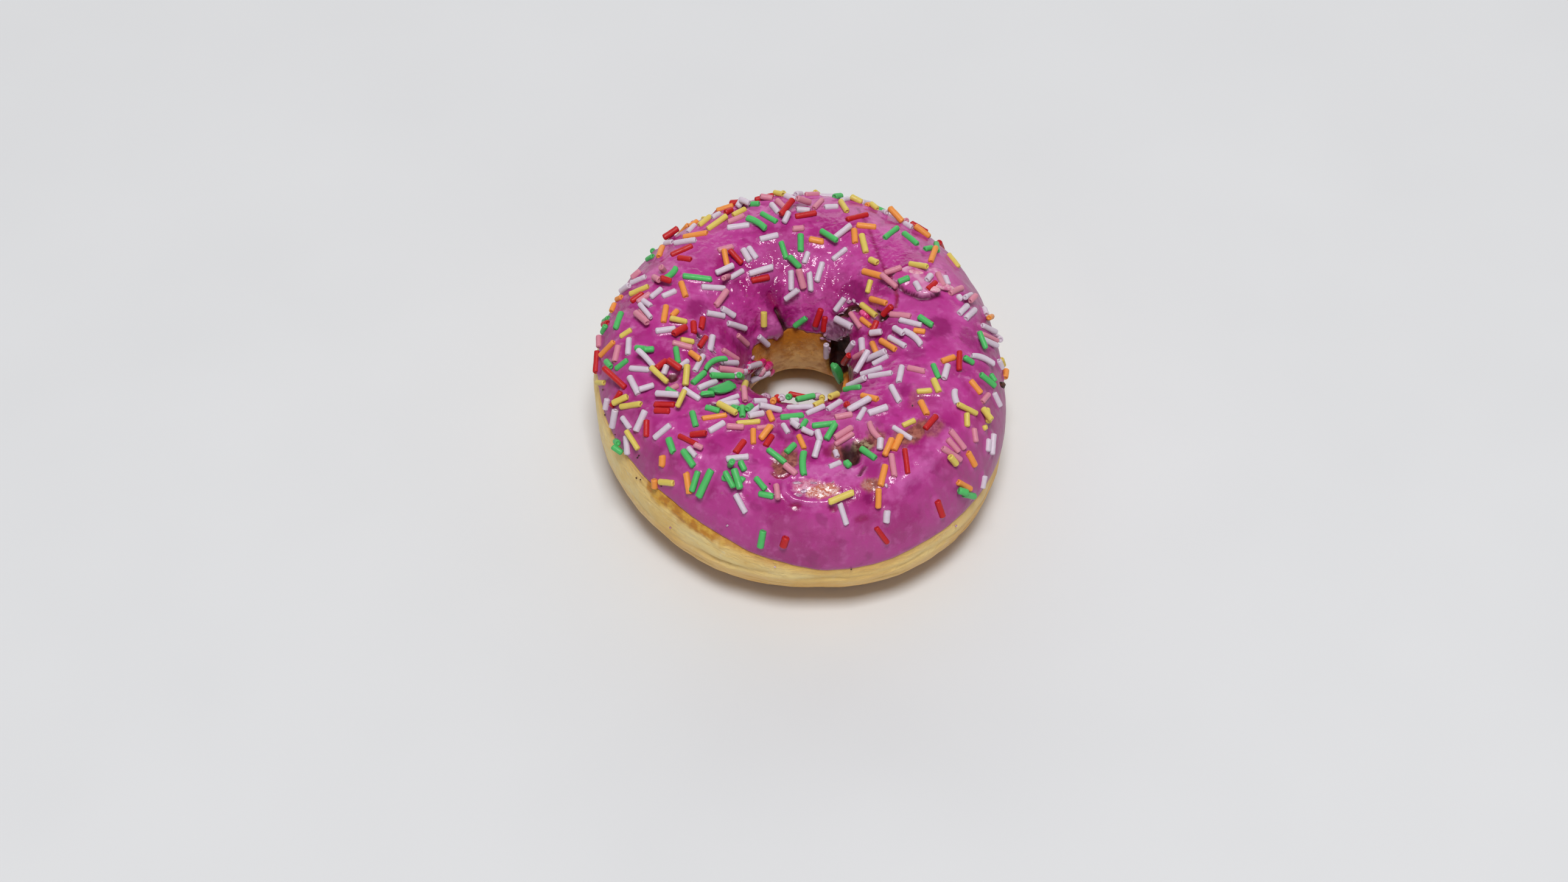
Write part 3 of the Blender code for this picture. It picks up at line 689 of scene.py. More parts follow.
# Round places: angle, turn, width along the ring, width round the section, rise, colour masks.
# Lighter lilac spots are painted sheen; near black spots are painted shade in pits and holes.
COAT_SPOTS = (
    (114.8, 161.0, 2.3, 3.2, 1.0, {"painted_sheen": 0.75, "wet": 0.9}),      # a swollen drip
    # Painted shade in and beside the cleft by the drip
    (112.8, 142.5, 1.9, 2.6, -0.25, {"blotch_and_shade": 1.0}),
    (112.0, 137.0, 2.6, 3.2, -0.1, {"blotch_and_shade": 0.8}),
    (109.0, 152.0, 1.6, 2.4, 0.0, {"blotch_and_shade": 0.9}),
    # A hole and pits painted dark as their shade, with crumb round them
    (286.0, 83.0, 1.5, 1.5, -2.1, {"painted_hollow_shade": 1.0}),                    # a hole down to the crumb
    (282.6, 86.6, 1.7, 1.2, -0.3, {"bare": 0.8, "blotch_and_shade": 0.4}), (286.2, 87.0, 1.4, 1.0, -0.6, {"painted_hollow_shade": 0.85}),
    (289.2, 86.6, 1.3, 1.0, -0.25, {"crumb": 1.0}),
    (291.4, 85.6, 1.8, 1.2, -0.1, {"crumb": 1.0}),
    (296.2, 86.4, 2.0, 1.2, -0.1, {"bare": 0.85, "wet": 0.5}),
    (299.0, 80.0, 2.6, 1.6, 0.15, {"painted_sheen": 0.6, "wet": 0.8}),
    # Painted shadow under a pair of sprinkles
    (279.5, 88.0, 1.6, 0.9, -0.2, {"blotch_and_shade": 0.9, "red": 0.3}),
    (272.0, 86.0, 1.6, 1.2, -0.15, {"blotch_and_shade": 0.6, "wet": 0.5}),
    (264.6, 82.0, 1.7, 2.2, -0.25, {"bare": 0.9, "wet": 0.4}),
    (262.0, 75.0, 1.6, 1.8, -0.2, {"bare": 0.85, "red": 0.3}),
    (309.0, 75.0, 3.6, 1.4, -0.3, {"bare": 0.9, "wet": 0.4}),
    (303.5, 79.0, 1.6, 1.2, -0.1, {"bare": 0.6, "wet": 0.5}),
    (314.8, 68.5, 2.2, 1.4, -0.15, {"bare": 0.6}),
    (282.0, 69.0, 3.0, 2.4, 0.25, {"painted_sheen": 0.9, "wet": 0.9}),
    (275.5, 74.5, 4.2, 1.4, 0.1, {"painted_sheen": 0.7, "wet": 0.9}),
    (290.5, 70.0, 1.8, 2.4, 0.0, {"blotch_and_shade": 0.5, "wet": 0.3}),
    (288.0, 59.8, 1.7, 1.2, -0.15, {"bare": 0.9, "sugar": 0.2}),
    (304.8, 60.5, 1.9, 1.9, 0.2, {"painted_sheen": 0.3, "wet": 1.0}),
    (267.0, 50.2, 1.0, 0.6, -0.3, {"blotch_and_shade": 0.9, "red": 0.5}),
    (276.8, 48.9, 0.8, 0.6, -0.25, {"blotch_and_shade": 1.0, "red": 0.4}),
    (279.8, 48.0, 0.6, 1.3, -0.1, {"blotch_and_shade": 0.8}),
    (286.2, 51.5, 1.0, 1.0, -0.15, {"blotch_and_shade": 1.0}),
    (283.5, 39.7, 1.3, 0.7, -0.1, {"blotch_and_shade": 0.7, "red": 0.3}),
    # The round pit, and two lines on a small pit, are painted dark as their shade
    (202.8, 87.4, 0.9, 0.85, -0.9, {"blotch_and_shade": 1.0, "red": 0.9, "painted_hollow_shade": 0.8}),         # a round pit
    (336.3, 69.8, 1.7, 1.4, 0.45, {"painted_sheen": 0.15, "wet": 1.0}),        # a blister
    (226.8, 98.5, 0.7, 0.6, -0.6, {"painted_hollow_shade": 0.9}),
    (0.2, 84.7, 2.2, 2.6, -0.15, {"blotch_and_shade": 0.75}),
    (50.3, 127.5, 2.6, 3.0, -0.25, {"blotch_and_shade": 0.9}),
    (161.2, 110.2, 2.2, 2.4, -0.1, {"blotch_and_shade": 0.7}),
    (261.8, 97.5, 2.6, 1.7, -0.1, {"blotch_and_shade": 0.7}),
    (357.5, 63.0, 2.2, 2.0, 0.0, {"blotch_and_shade": 0.55}),
    (345.5, 98.2, 2.2, 1.8, -0.1, {"blotch_and_shade": 0.5}),
    (342.8, 125.2, 2.0, 2.2, -0.1, {"blotch_and_shade": 0.6}),
    (40.0, 112.0, 2.2, 1.5, 0.0, {"blotch_and_shade": 0.6}),
    (39.2, 31.5, 2.5, 2.5, 0.0, {"blotch_and_shade": 0.35}),
    (135.5, 117.0, 2.5, 3.0, 0.0, {"blotch_and_shade": 0.35}),
    (320.2, 96.7, 2.0, 1.4, 0.0, {"blotch_and_shade": 0.55}),
    (321.5, 87.7, 2.4, 1.0, -0.1, {"bare": 0.4}),
    (298.8, 48.0, 1.8, 1.2, 0.0, {"blotch_and_shade": 0.4}),
    (238.8, 71.2, 1.6, 1.2, 0.0, {"blotch_and_shade": 0.45}),
    (151.5, 145.0, 1.3, 1.6, -0.2, {"blotch_and_shade": 0.75}),
    (156.5, 152.5, 2.6, 2.6, -0.25, {"blotch_and_shade": 0.6}),
    # Painted shade beside the torn place
    (28.5, 146.5, 2.0, 1.6, -0.2, {"blotch_and_shade": 0.8, "red": 0.2}),
    (38.0, 152.0, 1.8, 2.0, 0.0, {"blotch_and_shade": 0.6}),
    (290.0, 100.8, 2.4, 1.8, -0.1, {"painted_sheen": 0.35, "wet": 0.7}),
    (297.5, 93.5, 2.5, 2.0, 0.1, {"painted_sheen": 0.45, "wet": 0.8}),
    (244.0, 61.0, 4.0, 3.0, 0.1, {"painted_sheen": 0.2, "wet": 0.9}),
    # Broad painted sheen on the slopes that face the lights
    (70.0, 114.0, 7.0, 4.5, 0.0, {"painted_sheen": 0.35}), (98.0, 115.0, 6.0, 5.0, 0.0, {"painted_sheen": 0.35}),
    (86.0, 133.0, 5.0, 5.0, 0.0, {"painted_sheen": 0.2}), (55.0, 123.0, 4.0, 3.0, 0.0, {"painted_sheen": 0.3}),
    (78.0, 68.0, 8.0, 5.0, 0.0, {"painted_sheen": 0.4}), (104.0, 72.0, 9.0, 5.0, 0.0, {"painted_sheen": 0.4}),
    (54.0, 68.0, 7.0, 4.0, 0.0, {"painted_sheen": 0.35}), (131.0, 82.0, 7.0, 4.0, 0.0, {"painted_sheen": 0.3}),
    (12.0, 96.0, 5.0, 4.0, 0.0, {"painted_sheen": 0.25}), (330.0, 80.0, 6.0, 4.0, 0.0, {"painted_sheen": 0.25}),
    (294.0, 49.5, 2.6, 1.4, 0.12, {"painted_sheen": 0.6}), (299.2, 53.5, 3.0, 1.5, 0.12, {"painted_sheen": 0.6}),
    (306.0, 56.5, 3.6, 1.8, 0.1, {"painted_sheen": 0.6}), (312.5, 61.0, 3.6, 1.8, 0.0, {"painted_sheen": 0.5}),
    (156.0, 111.0, 5.0, 3.5, 0.0, {"painted_sheen": 0.3}), (102.8, 117.0, 5.0, 4.0, 0.0, {"painted_sheen": 0.25}),
    (341.0, 75.0, 2.6, 2.0, 0.0, {"blotch_and_shade": 0.35}),
    (258.5, 68.0, 2.6, 1.2, 0.0, {"painted_sheen": 0.45, "wet": 0.6}),
    (250.0, 66.0, 5.0, 2.0, 0.0, {"painted_sheen": 0.45}), (236.0, 62.0, 5.0, 2.5, 0.0, {"painted_sheen": 0.3}),
    (206.0, 80.0, 6.0, 4.0, 0.0, {"painted_sheen": 0.2}), (0.0, 72.0, 6.0, 4.0, 0.0, {"painted_sheen": 0.25}),
    (330.8, 90.8, 2.4, 1.6, 0.1, {"wet": 0.8, "painted_sheen": 0.2}),
    (14.8, 84.7, 2.0, 2.0, 0.0, {"wet": 0.9}),
    (29.0, 103.0, 1.8, 1.2, 0.0, {"wet": 0.8, "torn": 0.2}),
    (41.0, 103.0, 1.6, 1.2, 0.1, {"painted_sheen": 0.4, "wet": 0.7}),
    (75.0, 136.0, 3.5, 3.0, 0.1, {"painted_sheen": 0.3, "wet": 0.5}),
)
# Grooves, and ridges where the depth is under zero: places along the line, width, depth, masks.
# Most grooves are painted darker as their shade; the ridges by the sugar patch carry painted sheen.
COAT_LINES = (
    (((70.5, 64.5), (67.8, 72.8), (60.5, 85.5), (55.8, 90.8), (48.8, 96.7), (42.0, 100.5)),
     0.22, 0.12, {"blotch_and_shade": 0.8, "red": 0.25}),
    (((42.0, 100.5), (37.5, 101.6), (35.0, 102.5)), 0.4, 0.3, {"red": 1.0}),
    (((28.2, 103.0), (23.0, 104.2), (16.0, 108.0)), 0.3, 0.35, {"red": 0.9, "blotch_and_shade": 0.5}),
    (((114.0, 138.0), (112.0, 144.8), (111.2, 149.0)), 0.7, 0.4, {"blotch_and_shade": 0.9, "red": 0.4}),
    (((111.4, 149.5), (110.2, 155.5), (107.8, 160.5), (105.6, 165.5)), 0.5, 1.2,
     {"painted_hollow_shade": 1.0, "blotch_and_shade": 1.0}),
    (((286.0, 68.0), (287.0, 70.5), (288.5, 72.8)), 0.28, 0.6, {"blotch_and_shade": 1.0, "painted_hollow_shade": 0.6}),
    (((259.8, 69.0), (261.2, 67.5), (263.5, 68.6), (265.2, 71.0)), 0.25, 0.5, {"red": 1.0}),
    (((292.0, 53.2), (294.2, 54.2), (297.2, 54.4), (300.2, 54.2), (303.5, 54.6), (306.5, 54.0),
      (314.0, 51.0)), 0.7, -0.28, {"wet": 0.5}),
    (((245.7, 70.5), (249.3, 69.0), (253.5, 66.0), (257.5, 63.0), (260.2, 59.2), (262.5, 54.8)),
     0.8, -0.2, {"wet": 0.6}),
    (((265.5, 69.5), (263.4, 64.5), (263.8, 58.5), (266.5, 54.2), (270.0, 53.0), (274.5, 53.0),
      (278.2, 54.8)), 0.4, -0.38, {"painted_sheen": 0.5, "wet": 0.9}),
    (((272.6, 72.6), (273.6, 68.8), (274.0, 66.0)), 0.22, -0.35, {"painted_sheen": 1.0, "wet": 1.0}),
    (((274.0, 67.0), (275.2, 69.6), (276.8, 71.6)), 0.22, -0.35, {"painted_sheen": 1.0, "wet": 1.0}),
    (((176.0, 110.5), (176.8, 112.5), (177.6, 114.6)), 0.3, 0.7, {"painted_hollow_shade": 1.0}),
    (((178.4, 125.0), (182.5, 124.2), (186.0, 123.4)), 0.26, 0.8, {"painted_hollow_shade": 0.9}),
    (((192.6, 126.2), (194.6, 128.4), (197.6, 131.0)), 0.34, 0.8, {"painted_hollow_shade": 1.0}),
    (((182.2, 114.6), (186.0, 113.2), (189.4, 113.4)), 0.36, 0.4, {"blotch_and_shade": 1.0, "painted_hollow_shade": 0.4}),
    (((224.6, 95.6), (226.6, 97.6), (228.4, 98.4)), 0.5, 0.8, {"painted_hollow_shade": 1.0}),
    (((163.0, 112.0), (166.5, 116.5), (170.5, 118.5)), 0.3, 0.2, {"blotch_and_shade": 0.6}),
)
# Torn or raised places: the outline's places, width of the edge, rise, roughness of form, masks.
COAT_PATCHES = (
    (((32.4, 103.4), (28.0, 99.8), (22.5, 97.5), (18.8, 93.7), (16.0, 90.8), (15.5, 86.2),
      (16.5, 80.5), (19.2, 75.0), (22.8, 69.0), (26.5, 67.0), (29.0, 72.5), (29.5, 81.0),
      (33.0, 87.0), (35.5, 91.5), (35.5, 98.2)), 0.25, 0.95, 0.35, {"milk": 1.0, "wet": 0.3}),
    # Holes torn down to the dough, painted dark as their shade
    (((56.0, 148.6), (50.6, 143.6), (48.9, 138.6), (47.4, 135.0), (42.0, 132.6), (37.0, 131.0),
      (36.6, 134.6), (41.0, 137.0), (41.6, 141.8), (45.0, 145.2), (50.8, 146.4)),
     0.25, -1.2, 0.2, {"painted_hollow_shade": 0.95, "bare": 1.0}),
    (((27.4, 124.2), (23.4, 121.2), (19.0, 120.2), (14.6, 116.2), (12.6, 114.4), (12.4, 118.6),
      (15.4, 123.4), (18.6, 125.4), (22.6, 124.2)), 0.25, -1.1, 0.2, {"painted_hollow_shade": 0.95, "bare": 1.0}),
    (((63.0, 158.0), (60.0, 152.0), (55.0, 150.5), (49.5, 146.8), (42.0, 145.0), (33.0, 146.5),
      (30.5, 150.0), (35.0, 155.0), (42.0, 161.5), (48.5, 167.6), (57.7, 169.0), (65.0, 169.5)),
     0.35, 0.35, 0.35, {"torn": 1.0}),
    (((177.2, 111.0), (175.0, 118.6), (181.2, 119.4), (188.5, 118.5), (190.6, 112.0),
      (184.2, 109.2)), 0.4, -0.15, 0.9, {"torn": 0.8}),
    (((178.8, 124.6), (186.0, 123.0), (188.6, 126.6), (180.8, 128.6)), 0.3, -0.1, 0.6,
     {"torn": 0.7}),
    # Painted sheen over the gel's own paler pink
    (((266.3, 60.0), (266.0, 64.6), (268.5, 67.7), (272.6, 69.0), (274.5, 66.0), (272.0, 63.5),
      (270.0, 59.5), (268.4, 56.6)), 0.4, -0.1, 0.5, {"sugar": 0.5, "painted_sheen": 1.0, "wet": 0.9}),
    (((269.4, 60.5), (271.5, 63.6), (274.2, 65.6), (277.8, 65.0), (279.2, 61.5), (278.2, 57.6),
      (273.2, 55.5), (270.0, 56.4)), 0.35, -0.15, 0.9, {"sugar": 0.95, "wet": 0.6}),
    (((28.5, 124.8), (22.0, 124.9), (17.0, 126.0), (17.4, 129.6), (24.0, 130.4), (30.0, 128.0)),
     0.4, 0.0, 0.9, {"torn": 0.8, "wet": 0.6}),
    (((40.0, 132.0), (33.0, 129.6), (25.0, 129.8), (23.6, 133.4), (31.0, 136.0), (39.0, 136.2)),
     0.4, 0.15, 0.6, {"red": 0.9, "wet": 1.0, "painted_sheen": 0.3}),
)


# A cavity beside the hole, torn through the icing into the dough
# Its inside is painted dark as its shade
CAVITY = ((58.0, 169.0), (48.0, 167.5), (42.0, 162.0), (33.5, 155.0), (26.5, 159.2), (25.5, 170.0),
          (29.5, 182.5), (45.0, 200.0), (60.0, 206.0), (60.0, 190.0), (58.5, 178.0))
CAVITY_DEPTH = 2.0


def along_path(point, places):
    """Distance in mm of each point from a line through places on the ring."""
    angle, turn = rad(np.array(places, float).T)
    nodes = ring(angle, turn)
    best = np.full(point.shape[:-1], 99.0)
    for start, end in zip(nodes[:-1], nodes[1:]):
        d = end - start
        s = np.clip((point - start) @ d / (d @ d), 0, 1)
        best = np.minimum(best, np.linalg.norm(point - (start + s[..., None] * d), axis=-1))
    return best


def within(point, places):
    """Distance in mm from the outline through places on the ring, less than 0 inside it."""
    angle, turn = rad(np.array(places, float).T)
    nodes, _, _, normals = ring_frame(angle, turn)
    middle, n = nodes.mean(0), unit(normals.mean(0))
    u = unit(nodes[0] - middle - ((nodes[0] - middle) @ n) * n)
    v = np.cross(n, u)
    reach = np.linalg.norm(nodes - middle, axis=1).max() + 2.5
    out = np.full(point.shape[:-1], 99.0)
    near = np.linalg.norm(point - middle, axis=-1) < reach
    q = np.stack([(point[near] - middle) @ u, (point[near] - middle) @ v], -1)
    poly = np.stack([(nodes - middle) @ u, (nodes - middle) @ v], -1)
    best, inside = np.full(len(q), 99.0), np.zeros(len(q), bool)
    for a, b in zip(poly, np.roll(poly, -1, 0)):
        d = b - a
        s = np.clip((q - a) @ d / max(d @ d, 1e-9), 0, 1)
        best = np.minimum(best, np.linalg.norm(q - (a + s[:, None] * d), axis=1))
        crosses = (a[1] > q[:, 1]) != (b[1] > q[:, 1])
        rise = d[1] if abs(d[1]) > 1e-12 else 1e-12
        inside ^= crosses & (q[:, 0] < a[0] + d[0] * (q[:, 1] - a[1]) / rise)
    out[near] = np.where(inside, -best, best)
    return out


def add_masks(masks, amount, values):
    for name, value in values.items():
        masks[name] = np.maximum(masks[name], np.clip(amount, 0, 1) * value)


def coat_relief(angle, turn, point, outer, hole):
    """Rise of the icing in mm, before the sprinkles press into it, and its masks."""
    masks = {k: np.zeros_like(turn) for k in ("pale", "peel", "painted_sheen", "blotch_and_shade", "red", "torn",
                                              "bare", "crumb", "milk", "sugar", "painted_hollow_shade", "wet")}
    rise = 0.22 * fractal(point, 9.0, 3) + 0.05 * fractal(point, 2.4, 5)
    # The crest and the wall of the hole are pebbly where the icing set while it flowed
    inner = smooth(turn, rad(88), rad(112)) * (1 - smooth(turn, rad(150), rad(168)))
    rise = rise + 0.10 * inner * fractal(point, 1.7, 8, 2)
    back = smooth(np.sin(angle), 0.2, 0.7)
    masks["peel"] = np.maximum(inner * (0.35 + 0.65 * back),
                               back * smooth(turn, rad(66), rad(92)) * 0.7
                               * (1 - smooth(turn, rad(150), rad(168))))
    front = smooth(-np.sin(angle), 0.25, 0.7) * smooth(turn, rad(40), rad(60))
    rise = rise + 0.10 * front * fractal(point, 2.2, 12, 2)
    # The skin of the flanks is finely wrinkled along the ring
    flank = 1 - smooth(turn, rad(34), rad(62))
    side = smooth(np.abs(np.cos(angle)), 0.35, 0.85)
    skin = np.stack([np.cos(angle) * 9, np.sin(angle) * 9, turn * 14], -1)
    rise = rise + 0.05 * flank * (0.4 + 0.6 * side) * fractal(skin, 0.8, 14, 2)
    masks["pale"] = flank * (0.45 + 0.5 * side)
    masks["peel"] = np.maximum(masks["peel"], 0.15 * front * (1 - smooth(turn, rad(95), rad(120))))
    jitter = 0.16 * fractal(point, 0.9, 31, 2)
    for at, to, along, around, depth, values in COAT_SPOTS:
        q = spot(angle, turn, at, to, along, around)
        rise = rise + depth * np.exp(-q)
        add_masks(masks, smooth(np.exp(-q) + jitter * 1.3, 0.12, 0.5), values)
    for places, width, depth, values in COAT_LINES:
        near = along_path(point, places) + 0.4 * jitter
        bell = np.exp(-(near / width) ** 2)
        rise = rise - depth * bell
        add_masks(masks, np.exp(-(np.maximum(near - 0.12, 0) / (width * 0.9)) ** 2), values)
    ragged = 0.3 * fractal(point, 1.1, 41, 3)
    for places, width, height, rough, values in COAT_PATCHES:
        inside = 1 - smooth(within(point, places) + ragged, -width, width)
        rise = rise + inside * (height + 0.35 * rough * fractal(point, 1.0, 43, 2))
        add_masks(masks, inside, values)
    # Painted shadow under the lump's broken edge, in a slight groove
    edge = along_path(point, COAT_PATCHES[0][0][:7])
    outside = smooth(within(point, COAT_PATCHES[0][0]), -0.1, 0.15)
    below = np.exp(-(edge / 0.55) ** 2) * outside * (1 - smooth(edge, 0.9, 1.4))
    rise = rise - 0.35 * below
    add_masks(masks, below * 1.4, {"blotch_and_shade": 1.0, "painted_hollow_shade": 0.7})
    return rise, masks


def distance_to_rods(points, rods, reach):
    """For each point, the distance to the nearest sprinkle's axis and how high that one sits."""
    best = np.full(len(points), 9.0)
    start, end = rods.ends()
    for k in range(len(rods.length)):
        if rods.lift[k] > 0.45:
            continue
        a, d = start[k], end[k] - start[k]
        box = np.abs(points - rods.middle[k]).max(1) < reach + rods.length[k] / 2
        if not box.any():
            continue
        near = points[box]
        s = np.clip((near - a) @ d / (d @ d), 0.06, 0.94)
        away = near - (a + s[:, None] * d)
        up = away @ rods.normal[k]
        side = np.sqrt(np.maximum((away * away).sum(1) - up * up, 0)) + rods.lift[k] * 0.6
        best[box] = np.minimum(best[box], side)
    return best


ICING_ROUND, ICING_ACROSS, ICING_UNDER = 600, 150, 9
COAT_ROOT, DOUGH_ROOT = 2.8, 4.5     # how far in the unseen faces of the two layers lie


class Icing:
    def __init__(self):
        angle = np.linspace(0, TAU, ICING_ROUND, endpoint=False)
        outer, hole = coat_edges(angle)
        steps = margin_steps(ICING_ACROSS)
        self.angle = np.repeat(angle[:, None], ICING_ACROSS, 1)
        self.turn = outer[:, None] + (hole - outer)[:, None] * steps
        self.outer, self.hole = outer[:, None], hole[:, None]
        _, half, height = ring_sizes(angle)
        arc = ((hole - outer) * 17.3)[:, None]
        from_edge = np.minimum(steps, 1 - steps) * arc
        self.from_edge = from_edge
        bull = 0.5 * (1 - np.sqrt(np.clip(1 - (1 - np.minimum(from_edge / 1.3, 1)) ** 2, 0, 1)))
        base, _, _, self.normal = ring_frame(self.angle, self.turn)
        self.rise, self.masks = coat_relief(self.angle, self.turn, base, self.outer, self.hole)
        fade = smooth(from_edge, 0.0, 1.5)
        # The coat is thinner over the far shoulder
        thin = 0.5 * smooth(np.sin(self.angle), 0.1, 0.6) * np.exp(-((np.degrees(self.turn) - 42) / 20) ** 2)
        hollow = smooth(-within(base, CAVITY), -0.5, 1.2)
        # The cavity's icing is painted dark as its shade
        self.masks["painted_hollow_shade"] = np.maximum(self.masks["painted_hollow_shade"], smooth(hollow, 0.1, 0.4))
        self.rise = self.rise - CAVITY_DEPTH * hollow
        self.point = base + self.normal * ((self.rise + CAVITY_DEPTH * hollow) * fade - bull - thin
                                           - CAVITY_DEPTH * hollow)[..., None]
        self.steps = steps

    def tree(self):
        from mathutils.bvhtree import BVHTree
        p = self.point[::2, ::2]
        quads = grid_quads(p.shape[0], p.shape[1], wrap_rows=True)
        return BVHTree.FromPolygons(p.reshape(-1, 3).tolist(), quads.tolist())

    def press(self, rods):
        """The icing creeps up the sprinkles that sit in it."""
        flat = self.point.reshape(-1, 3)
        side = distance_to_rods(flat, rods, 2.6)
        creep = np.exp(-(np.maximum(side - 0.5, 0) / 0.42) ** 2)
        # Painted highlight on the icing's rim round each sprinkle
        self.masks["painted_rim_highlight"] = np.exp(-(np.maximum(side - 0.6, 0) / 0.5) ** 2).reshape(self.turn.shape)
        fade = smooth(self.from_edge, 0.0, 1.0)
        creep = creep.reshape(self.turn.shape) * fade
        dip = np.exp(-((side - 1.5) / 0.5) ** 2).reshape(self.turn.shape) * fade
        self.point = self.point + self.normal * (0.26 * creep - 0.05 * dip)[..., None]

    def build(self):
        turn = self.hole + (self.outer - self.hole) * np.linspace(0, 1, ICING_UNDER)
        ends = np.zeros(ICING_UNDER)
        ends[[0, -1]] = 1
        inset = np.where(ends, 0.5, COAT_ROOT)
        turn[:, 0], turn[:, -1] = self.hole[:, 0] - 0.006, self.outer[:, 0] + 0.006
        round_it = np.repeat(self.angle[:, :1], ICING_UNDER, 1)
        below, _, _, normal = ring_frame(round_it, turn)
        hollow = smooth(-within(below, CAVITY), -0.5, 1.2)
        below = below - normal * (inset + CAVITY_DEPTH * hollow * ends)[..., None]
        points = np.concatenate([self.point, below], 1)
        columns = ICING_ACROSS + ICING_UNDER
        fields = {k: np.concatenate([v, np.zeros((ICING_ROUND, ICING_UNDER))], 1)
                  for k, v in self.masks.items()}
        obj = ring_mesh("icing_coat", points, columns, ICING_ROUND, icing_material(), fields,
                        np.concatenate([self.turn, turn], 1), self.angle[:, 0])
        return obj


def ring_mesh(name, points, columns, rows, material, fields, turn, angle):
    quads = grid_quads(rows, columns, wrap_rows=True, wrap_columns=True)
    u = np.arange(rows + 1) / rows
    # Across, the unwrapped width follows the real one
    gaps = np.linalg.norm(np.diff(points[::20], axis=1), axis=2).mean(0)
    v = np.concatenate([[0], np.cumsum(np.maximum(gaps, 0.02))])
    v = np.append(v, v[-1] + 0.3)
    v = v / v[-1]
    r, c = quads[:, 0] // columns, quads[:, 0] % columns
    uv = np.stack([np.stack([u[r + i], v[c + j]], -1) for i, j in ((0, 0), (1, 0), (1, 1), (0, 1))], 1)
    obj = make_object(name, points, quads, material, uv=uv, fields=fields)
    skin = np.stack([np.cos(angle)[:, None] * 40 + 0 * turn, np.sin(angle)[:, None] * 40 + 0 * turn,
                     turn * 17.3], -1) * MM
    layer = obj.data.attributes.new("skin", "FLOAT_VECTOR", "POINT")
    layer.data.foreach_set("vector", skin.astype(np.float32).ravel())
    return obj


DOUGH_ROUND, DOUGH_SHOWN, DOUGH_HIDDEN = 480, 128, 10


